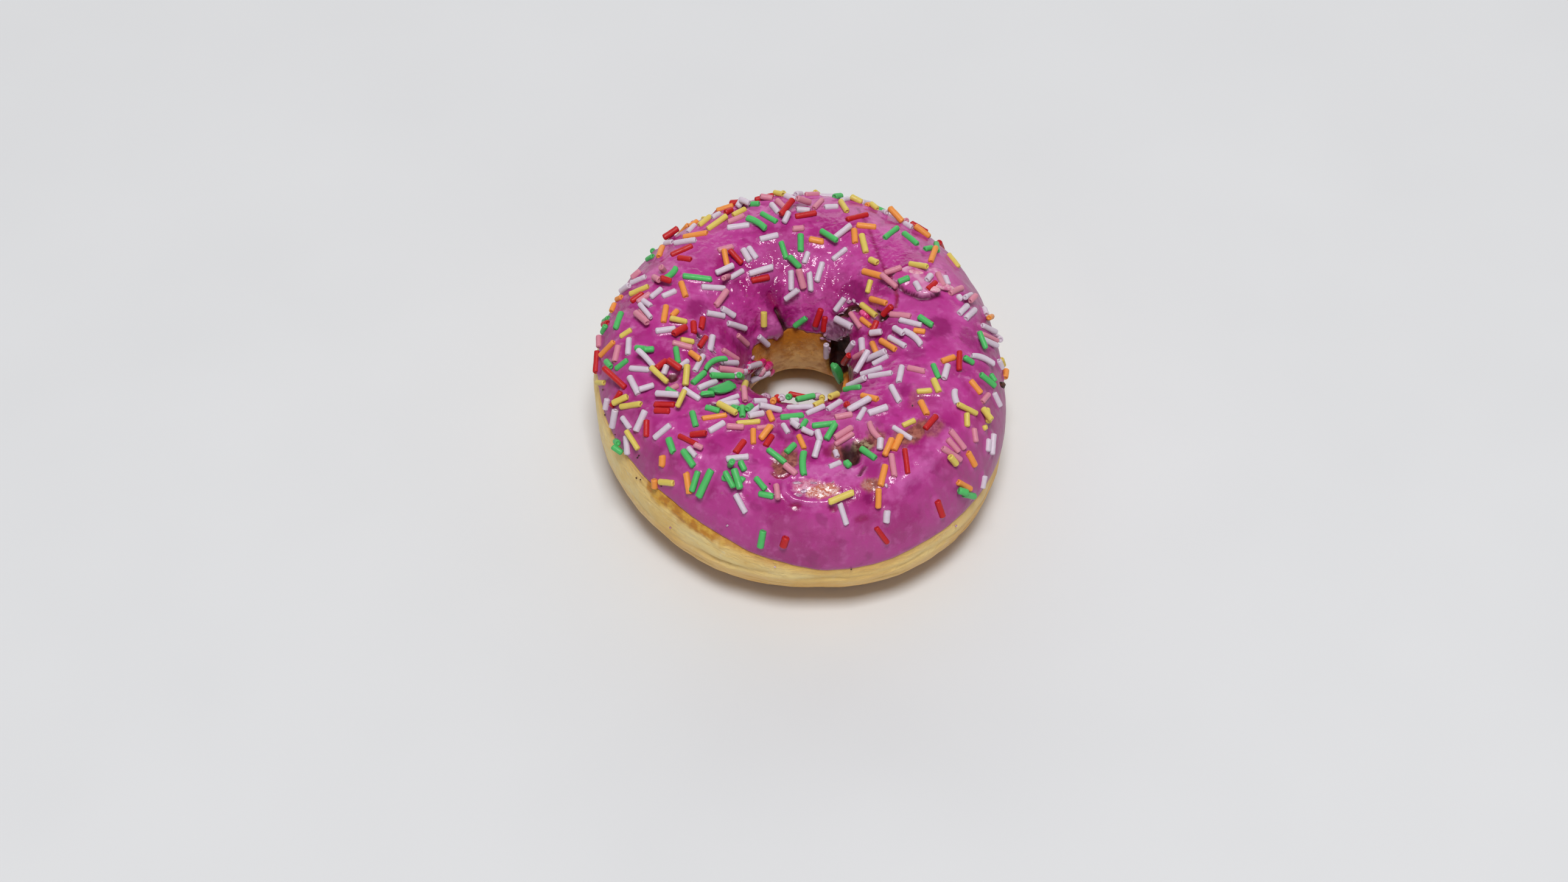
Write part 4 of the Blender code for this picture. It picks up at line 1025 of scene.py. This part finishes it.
def build_dough():
    angle = np.linspace(0, TAU, DOUGH_ROUND, endpoint=False)
    outer, hole = coat_edges(angle)
    steps = np.linspace(0, 1, DOUGH_SHOWN)[None]
    start, end = (hole - TAU)[:, None], outer[:, None]
    shown = start + (end - start) * steps
    hidden = outer[:, None] + (hole - outer)[:, None] * np.linspace(0, 1, DOUGH_HIDDEN + 2)[None, 1:-1]
    from_outer, from_hole = (end - shown) * 17.3, (shown - start) * 17.3
    away = np.minimum(from_outer, from_hole)
    inset = 0.42 * np.clip(1 - away / 4.0, 0, 1) ** 2
    ang = np.repeat(angle[:, None], DOUGH_SHOWN, 1)
    point, a, b, normal = ring_frame(ang, shown)
    # Layers of the risen dough: soft creases that run round it, breaking off here and there
    relief = 0.30 * fractal(point, 11.0, 21) + 0.07 * fractal(point, 3.0, 25)
    # The creases are also kept as a mask, painted darker as their shade
    crease_shade = np.zeros_like(shown)
    skin = np.stack([np.cos(ang) * 9, np.sin(ang) * 9, shown * 0], -1)
    for k, (at, width, depth) in enumerate(((-6, 0.45, 0.30), (-16, 0.35, 0.35), (-27, 0.5, 0.4),
                                            (-40, 0.4, 0.3), (-55, 0.6, 0.35))):
        middle = rad(at) + rad(5) * grid_noise(skin / 3, 40 + k) + rad(2) * grid_noise(skin, 50 + k)
        there = smooth(grid_noise(skin / 2.2, 60 + k), -0.25, 0.25)
        line = np.exp(-(((shown - middle) * 17.3) / width) ** 2) * there
        relief = relief - depth * line
        crease_shade = np.maximum(crease_shade, line)
    # A deep fold at the front's left, with the skin standing out a little below it
    at = np.degrees(ang)
    middle = rad(-5.5 + 3.0 * smooth(at, 250, 264)) + rad(2.6) * grid_noise(skin / 1.5, 47)
    there = smooth(at, 225, 233) * (1 - smooth(at, 254, 268))
    there = there * (0.35 + 0.65 * smooth(grid_noise(skin / 1.1, 49), -0.3, 0.3))
    past = (middle - shown) * 17.3
    fold = np.exp(-(past / 0.5) ** 2) * there
    relief = relief - 0.32 * fold + 0.22 * there * smooth(past, 0.0, 1.0) * np.exp(-(past / 5) ** 2)
    # The foot of the ring is drawn in a little at the front
    turned = round_off(ang - rad(270))
    foot = np.exp(-((shown + rad(30)) * 17.3 / 6.5) ** 2)
    relief = relief - foot * (0.5 * np.exp(-(turned / rad(24)) ** 2)
                              + 0.75 * np.exp(-(turned / rad(8)) ** 2))
    fade = smooth(away, 0.0, 2.0)
    hollow = smooth(-within(point, CAVITY), -0.5, 1.2)
    point = point + normal * (relief * fade - inset - CAVITY_DEPTH * hollow)[..., None]
    point[..., 2] = np.maximum(point[..., 2], 0.0)
    below = ring(np.repeat(angle[:, None], DOUGH_HIDDEN, 1), hidden, DOUGH_ROOT)
    points = np.concatenate([point, below], 1)
    low = np.degrees(shown)
    patchy = low + 3 * fractal(point, 5.0, 75, 2)
    brown = 0.45 * (1 - smooth(patchy, -13, -2)) + 0.45 * (1 - smooth(patchy, -50, -16))
    in_hole = 1 - smooth(low, -125, -95)
    near_icing = np.exp(-(from_outer / 1.4) ** 2)
    # Syrup soaked in under the icing's edge at one side
    soaked = smooth(at, 215, 227) * (1 - smooth(at, 240, 262))
    soaked = soaked * np.exp(-(np.maximum(from_outer - 1.2, 0) / (1.0 + 0.8 * soaked)) ** 2)
    soaked = smooth(soaked + 0.45 * fractal(point, 2.2, 71, 3), 0.15, 0.85)
    # Painted shade at the top of the hole's wall, under the icing's edge
    shade_under_icing = np.exp(-(from_hole / 3.6) ** 2)
    brown = np.minimum(brown + 0.25 * smooth(at, 296, 318) * (1 - smooth(at, 345, 359)), 1)
    # The cavity's dough is painted dark as its shade
    fields = {"brown": np.maximum(brown, 0.35 * near_icing), "hole": in_hole, "shade_under_icing": shade_under_icing,
              "amber": np.maximum(soaked, (0.3 + 0.4 * smooth(at, 215, 230) * (1 - smooth(at, 262, 280)))
                                  * near_icing),
              "crease_shade": np.maximum(crease_shade * 0.4, fold * 0.5), "painted_hollow_shade": smooth(hollow, 0.1, 0.4)}
    fields = {k: np.concatenate([v, np.zeros((DOUGH_ROUND, DOUGH_HIDDEN))], 1)
              for k, v in fields.items()}
    return ring_mesh("dough_ring", points, DOUGH_SHOWN + DOUGH_HIDDEN, DOUGH_ROUND,
                     dough_material(), fields, np.concatenate([shown, hidden], 1), angle)


# ---------------------------------------------------------------- sprinkles
ROD = 0.66         # half the thickness of a sprinkle
MORE = 130          # how many lie on the sides away from the listed ones


def scattered(taken, rng):
    """More of the same over the sides that the listed ones leave bare."""
    places = ring(rad(np.array([s[1] for s in taken])), rad(np.array([s[2] for s in taken])))
    colours = [s[0] for s in taken]
    out = []
    for _ in range(8000):
        angle, turn = rng.uniform(0, 360), rng.uniform(5, 178)
        outer, hole = (float(np.degrees(v)) for v in edges(rad(angle)))
        point = ring(rad(angle), rad(turn))
        if len(out) >= MORE:
            break
        if rng.uniform() > np.hypot(point[0], point[1]) / 50:
            continue
        top = 20 + 8 * (np.sin(rad(angle)) - 0.34) / 0.66
        back = 20 < angle < 160 and outer + 8 < turn < top
        front_wall = 195 < angle < 345 and 150 < turn < hole - 8
        if not (back or front_wall):
            continue
        at, _, _, normal = ring_frame(rad(angle), rad(turn))
        if normal @ unit(np.array(EYE) + MIDDLE - at) > (-0.14 if back else -0.4):
            continue
        if back and rng.uniform() > smooth(turn, outer + 4, outer + 34) + 0.15:
            continue
        near = np.linalg.norm(places - point, axis=1).min()
        if near < 1.2 or near < 2.4 and rng.uniform() > 0.12:
            continue
        length = float(np.clip(rng.normal(3.8, 0.8), 2.2, 5.4))
        bend = float(rng.normal(0, 0.25)) if rng.uniform() < 0.15 else 0.0
        out.append((colours[rng.integers(len(colours))], angle, turn, rng.uniform(-90, 90),
                    length, 0.0, bend, 0.0))
        places = np.vstack([places, point])
    return out


class Rods:
    """Every sprinkle: its middle, axis, length, thickness and bend, in mm."""

    def __init__(self, table, rng, surface):
        n = len(table)
        self.colour = np.array([row[0] for row in table])
        self.length = np.array([row[4] for row in table], float)
        self.bend = np.array([row[6] for row in table], float)
        self.radius = ROD * rng.normal(1.0, 0.05, n).clip(0.88, 1.14)
        self.middle, self.axis, self.normal = (np.zeros((n, 3)) for _ in range(3))
        self.lift, self.facing = np.zeros(n), np.zeros(n)
        for k, (_, angle, turn, heading, length, tilt, _, extra) in enumerate(table):
            point, a, b, normal = ring_frame(rad(angle), rad(turn))
            axis = np.cos(rad(heading)) * a + np.sin(rad(heading)) * b
            reach = 0.36 * length
            rises = [self.rise(surface, point + axis * reach * s, normal) for s in (-1, 0, 1)]
            slope = np.clip((rises[2] - rises[0]) / (2 * reach), -0.45, 0.45) + np.tan(rad(tilt))
            up = max(rises[1], (rises[0] + rises[2]) / 2) + self.radius[k] * 0.6
            self.lift[k] = abs(np.sin(rad(tilt))) * length / 2 * 0.9
            if abs(tilt) > 45:      # stands in the icing
                slope, self.lift[k] = np.tan(rad(tilt)), 0.0
            self.facing[k] = normal @ unit(np.array(EYE) + MIDDLE - point)
            if self.facing[k] < 0.3:    # near the far outline they lie close
                self.lift[k] *= 0.3
            self.lift[k] += extra
            self.middle[k] = point + normal * (up + self.lift[k])
            self.axis[k], self.normal[k] = unit(axis + normal * slope), normal
        self.settle()

    @staticmethod
    def rise(surface, at, normal):
        """Height of the icing over a point near it, along a normal."""
        origin = Vector(at + normal * 4)
        hit, _, _, distance = surface.ray_cast(origin, Vector(-normal), 9.0)
        return 4 - distance if hit is not None else 0.0

    def ends(self):
        half = self.axis * (self.length / 2)[:, None]
        return self.middle - half, self.middle + half

    def settle(self):
        """A later sprinkle that crosses an earlier one rests on it."""
        t = np.linspace(-0.46, 0.46, 7)
        for k in range(1, len(self.length)):
            near = np.nonzero(np.linalg.norm(self.middle[:k] - self.middle[k], axis=1)
                              < (self.length[:k] + self.length[k]) / 2 + 0.5)[0]
            for _ in range(2):
                own = self.middle[k] + np.outer(t * self.length[k], self.axis[k])
                raised = np.zeros(2)
                for j in near:
                    d = self.axis[j] * self.length[j]
                    a = self.middle[j] - d / 2
                    s = np.clip((own - a) @ d / (d @ d), 0, 1)
                    away = own - (a + s[:, None] * d)
                    up = away @ self.normal[k]
                    side = np.sqrt(np.maximum((away * away).sum(1) - up * up, 0))
                    clear = 0.9 * (self.radius[k] + self.radius[j])
                    need = np.sqrt(np.maximum(clear ** 2 - side ** 2, 0)) - up
                    need = np.where(side < clear, need, 0).clip(0, 1.3)
                    i = int(need.argmax())
                    if need[i] > 0.02:
                        w = t[i] / 0.92 + 0.5
                        share = np.array([1 - w, w]) * need[i] / ((1 - w) ** 2 + w ** 2)
                        raised = np.maximum(raised, share)
                if raised.max() <= 0.02:
                    break
                if self.facing[k] < 0.3:
                    raised = raised * 0.35
                a, b = (self.middle[k] + e * self.axis[k] * self.length[k] / 2 for e in (-1, 1))
                a, b = a + self.normal[k] * raised[0], b + self.normal[k] * raised[1]
                self.middle[k], self.axis[k] = (a + b) / 2, unit(b - a)
                self.lift[k] += raised.mean()


ROD_SIDES = 14


def build_sprinkles(rods, rng):
    """One joined mesh for each colour. A sprinkle is a short extruded rod with blunt, rounded,
    slightly uneven ends."""
    turn = np.linspace(0, TAU, ROD_SIDES, endpoint=False)
    for letter, (name, colour, deep) in SPRINKLES.items():
        points, quads, tris, painted_shade, base = [], [], [], [], 0
        for k in np.nonzero(rods.colour == letter)[0]:
            length, radius = rods.length[k], rods.radius[k]
            cap = rng.uniform(0.22, 0.36)
            into = np.array([0.0, 0.05, 0.16, 0.36, 0.68, 1.0]) * cap
            inner = np.linspace(cap, length - cap, 7)[1:-1]
            x = np.concatenate([into, inner, length - into[::-1]])
            from_end = np.minimum(x, length - x)
            q = 2.6
            shape = (1 - np.clip(1 - from_end / cap, 0, 1) ** q) ** (1 / q)
            shape = np.maximum(shape, 0.58)
            side = unit(np.cross(rods.axis[k], rods.normal[k]))
            top = np.cross(side, rods.axis[k])
            u = (x / length - 0.5) * 2
            curve = rods.bend[k] * (1 - u * u) - rods.bend[k] * 0.5
            centre = (rods.middle[k] + np.outer(x - length / 2, rods.axis[k])
                      - np.outer(curve, side))
            oval = rng.uniform(0.9, 1.06)
            ring_dir = (np.cos(turn)[:, None] * side * oval + np.sin(turn)[:, None] * top)
            grid = centre[:, None] + ring_dir[None] * (radius * shape)[:, None, None]
            seed = rng.uniform(0, 90)
            wob = 1 + 0.07 * grid_noise(grid / 1.1 + seed, 3) + 0.04 * grid_noise(grid / 0.45 + seed, 4)
            grid = centre[:, None] + (grid - centre[:, None]) * wob[..., None]
            # Ends are cut a little aslant
            slant = rng.normal(0, 0.12, 2)
            grid[:3] += (np.cos(turn) * slant[0] * 0.62)[None, :, None] * rods.axis[k]
            grid[-3:] += (np.cos(turn) * slant[1] * 0.62)[None, :, None] * rods.axis[k]
            n = len(x)
            points.append(grid.reshape(-1, 3))
            quads.append(grid_quads(n, ROD_SIDES, wrap_columns=True)[:, ::-1] + base)
            tips = np.stack([grid[0].mean(0), grid[-1].mean(0)])
            points.append(tips)
            a, b = base + n * ROD_SIDES, base + n * ROD_SIDES + 1
            i = np.arange(ROD_SIDES)
            j = (i + 1) % ROD_SIDES
            tris.append(np.stack([np.full_like(i, a), base + j, base + i], -1)[:, ::-1])
            last = base + (n - 1) * ROD_SIDES
            tris.append(np.stack([np.full_like(i, b), last + i, last + j], -1)[:, ::-1])
            # Painted shade on the underside, less on those raised off the icing
            above = (grid - centre[:, None]) @ rods.normal[k] / radius
            low = np.clip(-above * 0.8 - 0.05 - rods.lift[k], 0, 1)
            painted_shade.append(np.concatenate([low.ravel(), [0, 0]]))
            base += n * ROD_SIDES + 2
        obj = make_object("sprinkles_" + name, np.concatenate(points), np.concatenate(quads),
                          sprinkle_material(name, colour, deep),
                          fields={"painted_shade": np.concatenate(painted_shade)}, tris=np.concatenate(tris))
        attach(obj, "root")


# ---------------------------------------------------------------- bits
# Kind, angle, turn, heading, length, width, height, lift of its middle over the surface, cuts.
# The kinds are torn shreds of icing, wet jelly-like icing, crushed sprinkles and crumbs.
BITS = (
    ("shred", 48.6, 133.6, 30, 1.5, 0.8, 0.5, 0.25, 5), ("shred", 46.0, 131.4, -20, 1.3, 0.7, 0.5, 0.3, 5),
    ("shred", 42.5, 131.6, 10, 1.5, 0.5, 0.5, 0.25, 5), ("shred", 49.8, 140.2, 70, 1.4, 0.5, 0.4, 0.2, 5),
    ("shred", 52.2, 144.8, 40, 1.6, 0.5, 0.4, 0.15, 5), ("shred", 44.0, 138.2, 50, 1.4, 0.9, 0.7, -0.3, 6),
    ("shred", 65.0, 168.8, 10, 1.4, 0.6, 0.5, 0.2, 5), ("shred", 58.5, 169.4, -20, 1.7, 0.7, 0.5, 0.2, 5),
    ("shred", 51.0, 168.8, 20, 1.6, 0.6, 0.5, 0.2, 6), ("shred", 44.0, 163.6, 50, 1.5, 0.5, 0.5, 0.2, 5),
    ("shred", 37.5, 156.4, 50, 1.4, 0.6, 0.5, 0.1, 5), ("shred", 282.5, 143.5, 10, 2.3, 1.6, 1.5, 1.2, 2),
    ("shred", 41.5, 153.0, -30, 1.0, 0.5, 0.3, 0.05, 5), ("shred", 233.5, 152.0, 20, 1.6, 1.2, 0.8, 0.7, 2),
    ("shred", 61.5, 164.0, 60, 1.3, 0.8, 0.5, 0.1, 6), ("shred", 50.0, 147.8, 0, 1.2, 0.7, 0.5, 0.15, 5),
    ("shred", 19.6, 128.8, 0, 0.7, 0.6, 0.5, 0.1, 5), ("shred", 21.6, 127.6, 40, 0.6, 0.5, 0.5, 0.1, 5),
    ("shred", 17.6, 127.0, 40, 0.6, 0.5, 0.5, 0.1, 5), ("shred", 17.0, 123.2, 80, 0.8, 0.5, 0.5, 0.1, 5),
    ("shred", 59.0, 177.4, 84, 3.0, 1.1, 0.8, 0.35, 4), ("shred", 238.0, 143.2, 15, 1.7, 0.8, 0.5, 0.1, 4),
    ("shred", 224.4, 94.4, -20, 1.6, 0.7, 0.5, 0.15, 5), ("shred", 225.0, 98.4, 60, 0.9, 0.5, 0.4, 0.2, 5),
    ("shred", 218.0, 97.0, 20, 1.7, 0.35, 0.35, 0.15, 4), ("shred", 216.8, 94.6, -40, 0.9, 0.35, 0.3, 0.1, 4),
    ("shred", 180.0, 113.0, 60, 1.2, 0.25, 0.25, 0.12, 4), ("shred", 184.5, 116.0, 20, 1.4, 0.25, 0.25, 0.12, 4),
    ("shred", 187.0, 112.0, 70, 1.1, 0.25, 0.25, 0.12, 4), ("shred", 178.5, 117.0, 10, 1.3, 0.25, 0.25, 0.12, 4),
    ("shred", 181.5, 127.2, 50, 1.5, 0.4, 0.3, 0.1, 4), ("shred", 185.5, 125.6, 50, 1.5, 0.3, 0.3, 0.15, 4),
    ("shred", 291.8, 55.5, 40, 1.0, 0.8, 0.5, 0.1, 4), ("shred", 267.6, 65.6, 10, 2.2, 0.7, 0.4, 0.05, 5),
    ("shred", 269.2, 60.4, 30, 1.9, 1.0, 0.4, 0.05, 6), ("shred", 272.0, 66.2, 0, 1.7, 0.5, 0.4, 0.08, 5),
    ("shred", 277.6, 65.8, 40, 0.9, 0.25, 0.25, 0.1, 4), ("shred", 268.0, 57.4, 0, 1.4, 0.7, 0.4, 0.02, 6),
    ("shred", 47.4, 207.0, 0, 0.8, 0.6, 0.6, 0.3, 5), ("shred", 31.0, 105.6, 30, 1.4, 0.7, 0.4, 0.05, 5),
    ("shred", 25.4, 100.6, -10, 0.9, 0.6, 0.4, 0.05, 5),
    ("jelly", 33.0, 134.0, 10, 2.2, 1.5, 1.0, -0.1, 0), ("jelly", 28.6, 132.8, -20, 1.6, 1.1, 0.9, -0.1, 0),
    ("jelly", 130.5, 187.0, -10, 3.4, 2.6, 1.8, 0.5, 0),
    ("jelly", 124.0, 198.0, 60, 2.2, 1.7, 1.4, 0.6, 0), ("jelly", 138.5, 181.5, 10, 3.0, 2.2, 1.4, 0.3, 0),
    ("jelly", 147.5, 180.0, 0, 3.0, 2.2, 1.4, 0.15, 0), ("jelly", 155.0, 177.0, 10, 3.4, 2.4, 1.3, 0.15, 0),
    ("jelly", 163.0, 173.0, 20, 2.8, 2.0, 1.0, 0.1, 0), ("clot", 141.0, 186.0, 30, 2.4, 1.4, 1.4, 1.0, 0),
    ("clot", 18.6, 77.0, 80, 5.4, 1.7, 1.2, 0.1, 0), ("clot", 17.4, 84.0, 70, 3.2, 1.5, 1.0, 0.1, 0),
    ("clot", 20.4, 71.5, 60, 2.8, 1.4, 0.9, 0.0, 0), ("clot", 29.0, 88.0, 50, 3.6, 1.6, 0.7, -0.15, 0),
    ("green", 221.4, 109.0, 84, 7.6, 3.0, 1.8, 1.0, 9), ("green", 220.4, 98.5, 72, 3.8, 1.9, 1.2, 0.9, 6),
    ("green", 48.6, 199.0, 102, 7.4, 2.5, 1.8, 0.15, 6), ("shred", 150.6, 171.6, 10, 1.1, 0.8, 0.6, 0.3, 4),
    ("crumb", 346.0, 32.2, 80, 1.9, 1.1, 1.0, 1.5, 5), ("crumb", 317.0, 87.5, 30, 0.4, 0.35, 0.3, 0.06, 3),
    ("crumb", 206.2, 38.2, 0, 0.45, 0.4, 0.3, 0.08, 3), ("crumb", 197.0, 33.7, 0, 0.4, 0.3, 0.3, 0.08, 3),
    ("crumb", 196.5, 21.0, 50, 0.4, 0.35, 0.3, 0.08, 3), ("crumb", 205.2, 24.0, 0, 0.35, 0.3, 0.3, 0.08, 3),
    ("crumb", 217.2, 31.5, 0, 0.4, 0.3, 0.3, 0.08, 3), ("crumb", 279.8, 2.2, 20, 0.4, 0.3, 0.3, 0.08, 3),
    ("crumb", 217.0, 29.2, 70, 0.45, 0.35, 0.3, 0.08, 3), ("crumb", 219.0, 15.0, 0, 0.4, 0.35, 0.3, 0.08, 3),
    ("crumb", 220.8, 17.2, 0, 0.35, 0.3, 0.3, 0.08, 3), ("crumb", 259.5, 61.5, 0, 0.4, 0.3, 0.3, 0.08, 3),
    ("crumb", 228.5, 26.2, 0, 0.35, 0.3, 0.3, 0.08, 3), ("crumb", 190.2, 30.0, 0, 0.4, 0.3, 0.3, 0.08, 3),
    ("shred", 249.8, 25.5, 30, 0.6, 0.5, 0.4, 0.1, 4), ("shred", 308.0, 0.4, 0, 0.5, 0.45, 0.4, 0.1, 3),
    ("shred", 262.2, 3.0, 0, 0.45, 0.35, 0.3, 0.05, 3), ("shred", 232.8, 359.2, 0, 0.5, 0.4, 0.3, 0.05, 3),
)
BIT_KINDS = {"shred": ("icing_shreds", "set_icing"), "jelly": ("icing_jelly", "set_icing"),
             "clot": ("icing_clots", "set_icing"),
             "green": ("sprinkles_crushed", "sugar_sprinkle"), "crumb": ("crumbs", "baked_dough")}


def build_bits(surfaces, rng):
    """Small broken pieces, each a lump cut by a few planes or, in jelly, left round."""
    rows, columns = 15, 18
    lat = np.linspace(0, np.pi, rows + 2)[1:-1]
    lon = np.linspace(0, TAU, columns, endpoint=False)
    sphere = np.stack([np.repeat(np.cos(lat)[:, None], columns, 1),
                       np.sin(lat)[:, None] * np.cos(lon), np.sin(lat)[:, None] * np.sin(lon)], -1)
    materials = {"shred": shred_material(), "jelly": jelly_material(), "clot": clot_material(),
                 "green": sprinkle_material("green_crushed", (0.075, 0.50, 0.12), (0.03, 0.27, 0.07)),
                 "crumb": crumb_material()}
    for kind, (name, slot) in BIT_KINDS.items():
        points, quads, tris, painted_shade, base = [], [], [], [], 0
        for _, angle, turn, heading, length, width, height, lift, cuts in (
                row for row in BITS if row[0] == kind):
            p = np.sign(sphere) * np.abs(sphere) ** (0.8 if cuts else 1.0)
            p = p * np.array([length, width, height]) / 2
            # Each cut face gets a random painted shade
            shade = np.zeros(p.shape[:2])
            for _ in range(cuts):
                n = unit(rng.normal(0, 1, 3) * np.array([0.8, 1.0, 0.7]))
                size = np.abs(p @ n).max()
                over = np.maximum(p @ n - size * rng.uniform(0.5, 0.8), 0)
                p = p - over[..., None] * n
                shade = np.where(over > 0, rng.uniform(0, 0.8), shade)
            seed = rng.uniform(0, 90)
            scale = 0.16 if cuts else 0.10
            p = p * (1 + scale * fractal(p + seed, 0.8 if length < 5 else 1.5, 3, 3))[..., None]
            point, a, b, normal = ring_frame(rad(angle), rad(turn))
            on_dough = turn > np.degrees(edges(rad(angle))[1]) or turn > 350 or turn < 12
            rise = 0.0 if on_dough else Rods.rise(surfaces, point, normal)
            c, s = np.cos(rad(heading)), np.sin(rad(heading))
            axes = np.stack([c * a + s * b, c * b - s * a, normal])
            at = point + normal * (rise + lift)
            grid = at + p @ axes
            tips = at + np.array([[length * 0.5, 0, 0], [-length * 0.5, 0, 0]]) @ axes * 0
            tips = np.stack([grid[0].mean(0), grid[-1].mean(0)])
            points += [grid.reshape(-1, 3), tips]
            quads.append(grid_quads(rows, columns, wrap_columns=True) + base)
            i = np.arange(columns)
            j = (i + 1) % columns
            end = base + rows * columns
            tris.append(np.stack([np.full_like(i, end), base + i, base + j], -1))
            last = base + (rows - 1) * columns
            tris.append(np.stack([np.full_like(i, end + 1), last + j, last + i], -1))
            painted_shade.append(np.concatenate([shade.ravel(), [0, 0]]))
            base += rows * columns + 2
        obj = make_object(name, np.concatenate(points), np.concatenate(quads)[:, ::-1],
                          materials[kind], fields={"painted_shade": np.concatenate(painted_shade)},
                          tris=np.concatenate(tris)[:, ::-1])
        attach(obj, "root")


# ---------------------------------------------------------------- studio
ELEVATION, ROLL = rad(49.72), rad(-1.52)
EYE = (-3.38, -370.23, 434.12)
FOCAL = 61.49


def build_studio():
    scene = bpy.context.scene
    camera = bpy.data.objects.new("camera", bpy.data.cameras.new("camera"))
    camera.data.lens, camera.data.sensor_width = FOCAL, 36.0
    camera.data.sensor_fit = "HORIZONTAL"
    camera.data.clip_start, camera.data.clip_end = 0.01, 20.0
    c, s = np.cos(ELEVATION), np.sin(ELEVATION)
    right, up, ahead = np.array([1, 0, 0.0]), np.array([0, s, c]), np.array([0, c, -s])
    cr, sr = np.cos(ROLL), np.sin(ROLL)
    m = np.eye(4)
    m[:3, 0], m[:3, 1], m[:3, 2] = cr * right + sr * up, -sr * right + cr * up, -ahead
    m[:3, 3] = np.array(EYE) * MM
    camera.matrix_world = Matrix(m.tolist())
    scene.collection.objects.link(camera)
    scene.camera = camera

    t = Tree("floor")
    where = t.place()
    t.put(t.shader.inputs["Base Color"],
          t.mix(t.noise(where, 0.05, 2), (0.695, 0.70, 0.715), (0.735, 0.74, 0.755)))
    t.shader.inputs["Roughness"].default_value = 0.6
    bm = bmesh.new()
    bmesh.ops.create_grid(bm, x_segments=4, y_segments=4, size=2.5)
    mesh = bpy.data.meshes.new("floor")
    bm.to_mesh(mesh)
    bm.free()
    mesh.materials.append(t.material)
    floor = bpy.data.objects.new("floor", mesh)
    scene.collection.objects.link(floor)

    world = bpy.data.worlds.new("studio")
    world.use_nodes = True
    world.node_tree.nodes["Background"].inputs["Color"].default_value = (1, 1, 1, 1)
    world.node_tree.nodes["Background"].inputs["Strength"].default_value = 0.225
    scene.world = world
    lamp("key", (0.06, -0.52, 1.86), (0, 0.0, 0), 0.60, 0.60, 27.0)
    lamp("fill", (0.05, -1.0, 0.34), (0, 0, 0.01), 1.3, 0.4, 1.0)
    lamp("back", (0.0, 1.6, 0.55), (0, 0, 0.02), 3.0, 1.0, 11.5)
    scene.view_settings.view_transform = "Standard"
    scene.view_settings.look = "None"


def lamp(name, place, aim, width, height, watts):
    data = bpy.data.lights.new(name, "AREA")
    data.shape, data.size, data.size_y = "RECTANGLE", width, height
    data.energy = watts
    obj = bpy.data.objects.new(name, data)
    obj.location = place
    obj.rotation_euler = (Vector(aim) - Vector(place)).to_track_quat("-Z", "Y").to_euler()
    bpy.context.scene.collection.objects.link(obj)


def main():
    rng = np.random.default_rng(11)
    table = [tuple(row) + (0.0,) * (8 - len(row)) for row in LAYOUT]
    table += scattered(table, rng)
    icing = Icing()
    rods = Rods(table, rng, icing.tree())
    icing.press(rods)
    coat = icing.build()
    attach(coat, "root")
    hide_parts("icing")
    ring_of_dough = build_dough()
    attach(ring_of_dough, "root")
    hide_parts("dough")
    build_sprinkles(rods, rng)
    build_bits(icing.tree(), np.random.default_rng(5))
    build_studio()


main()
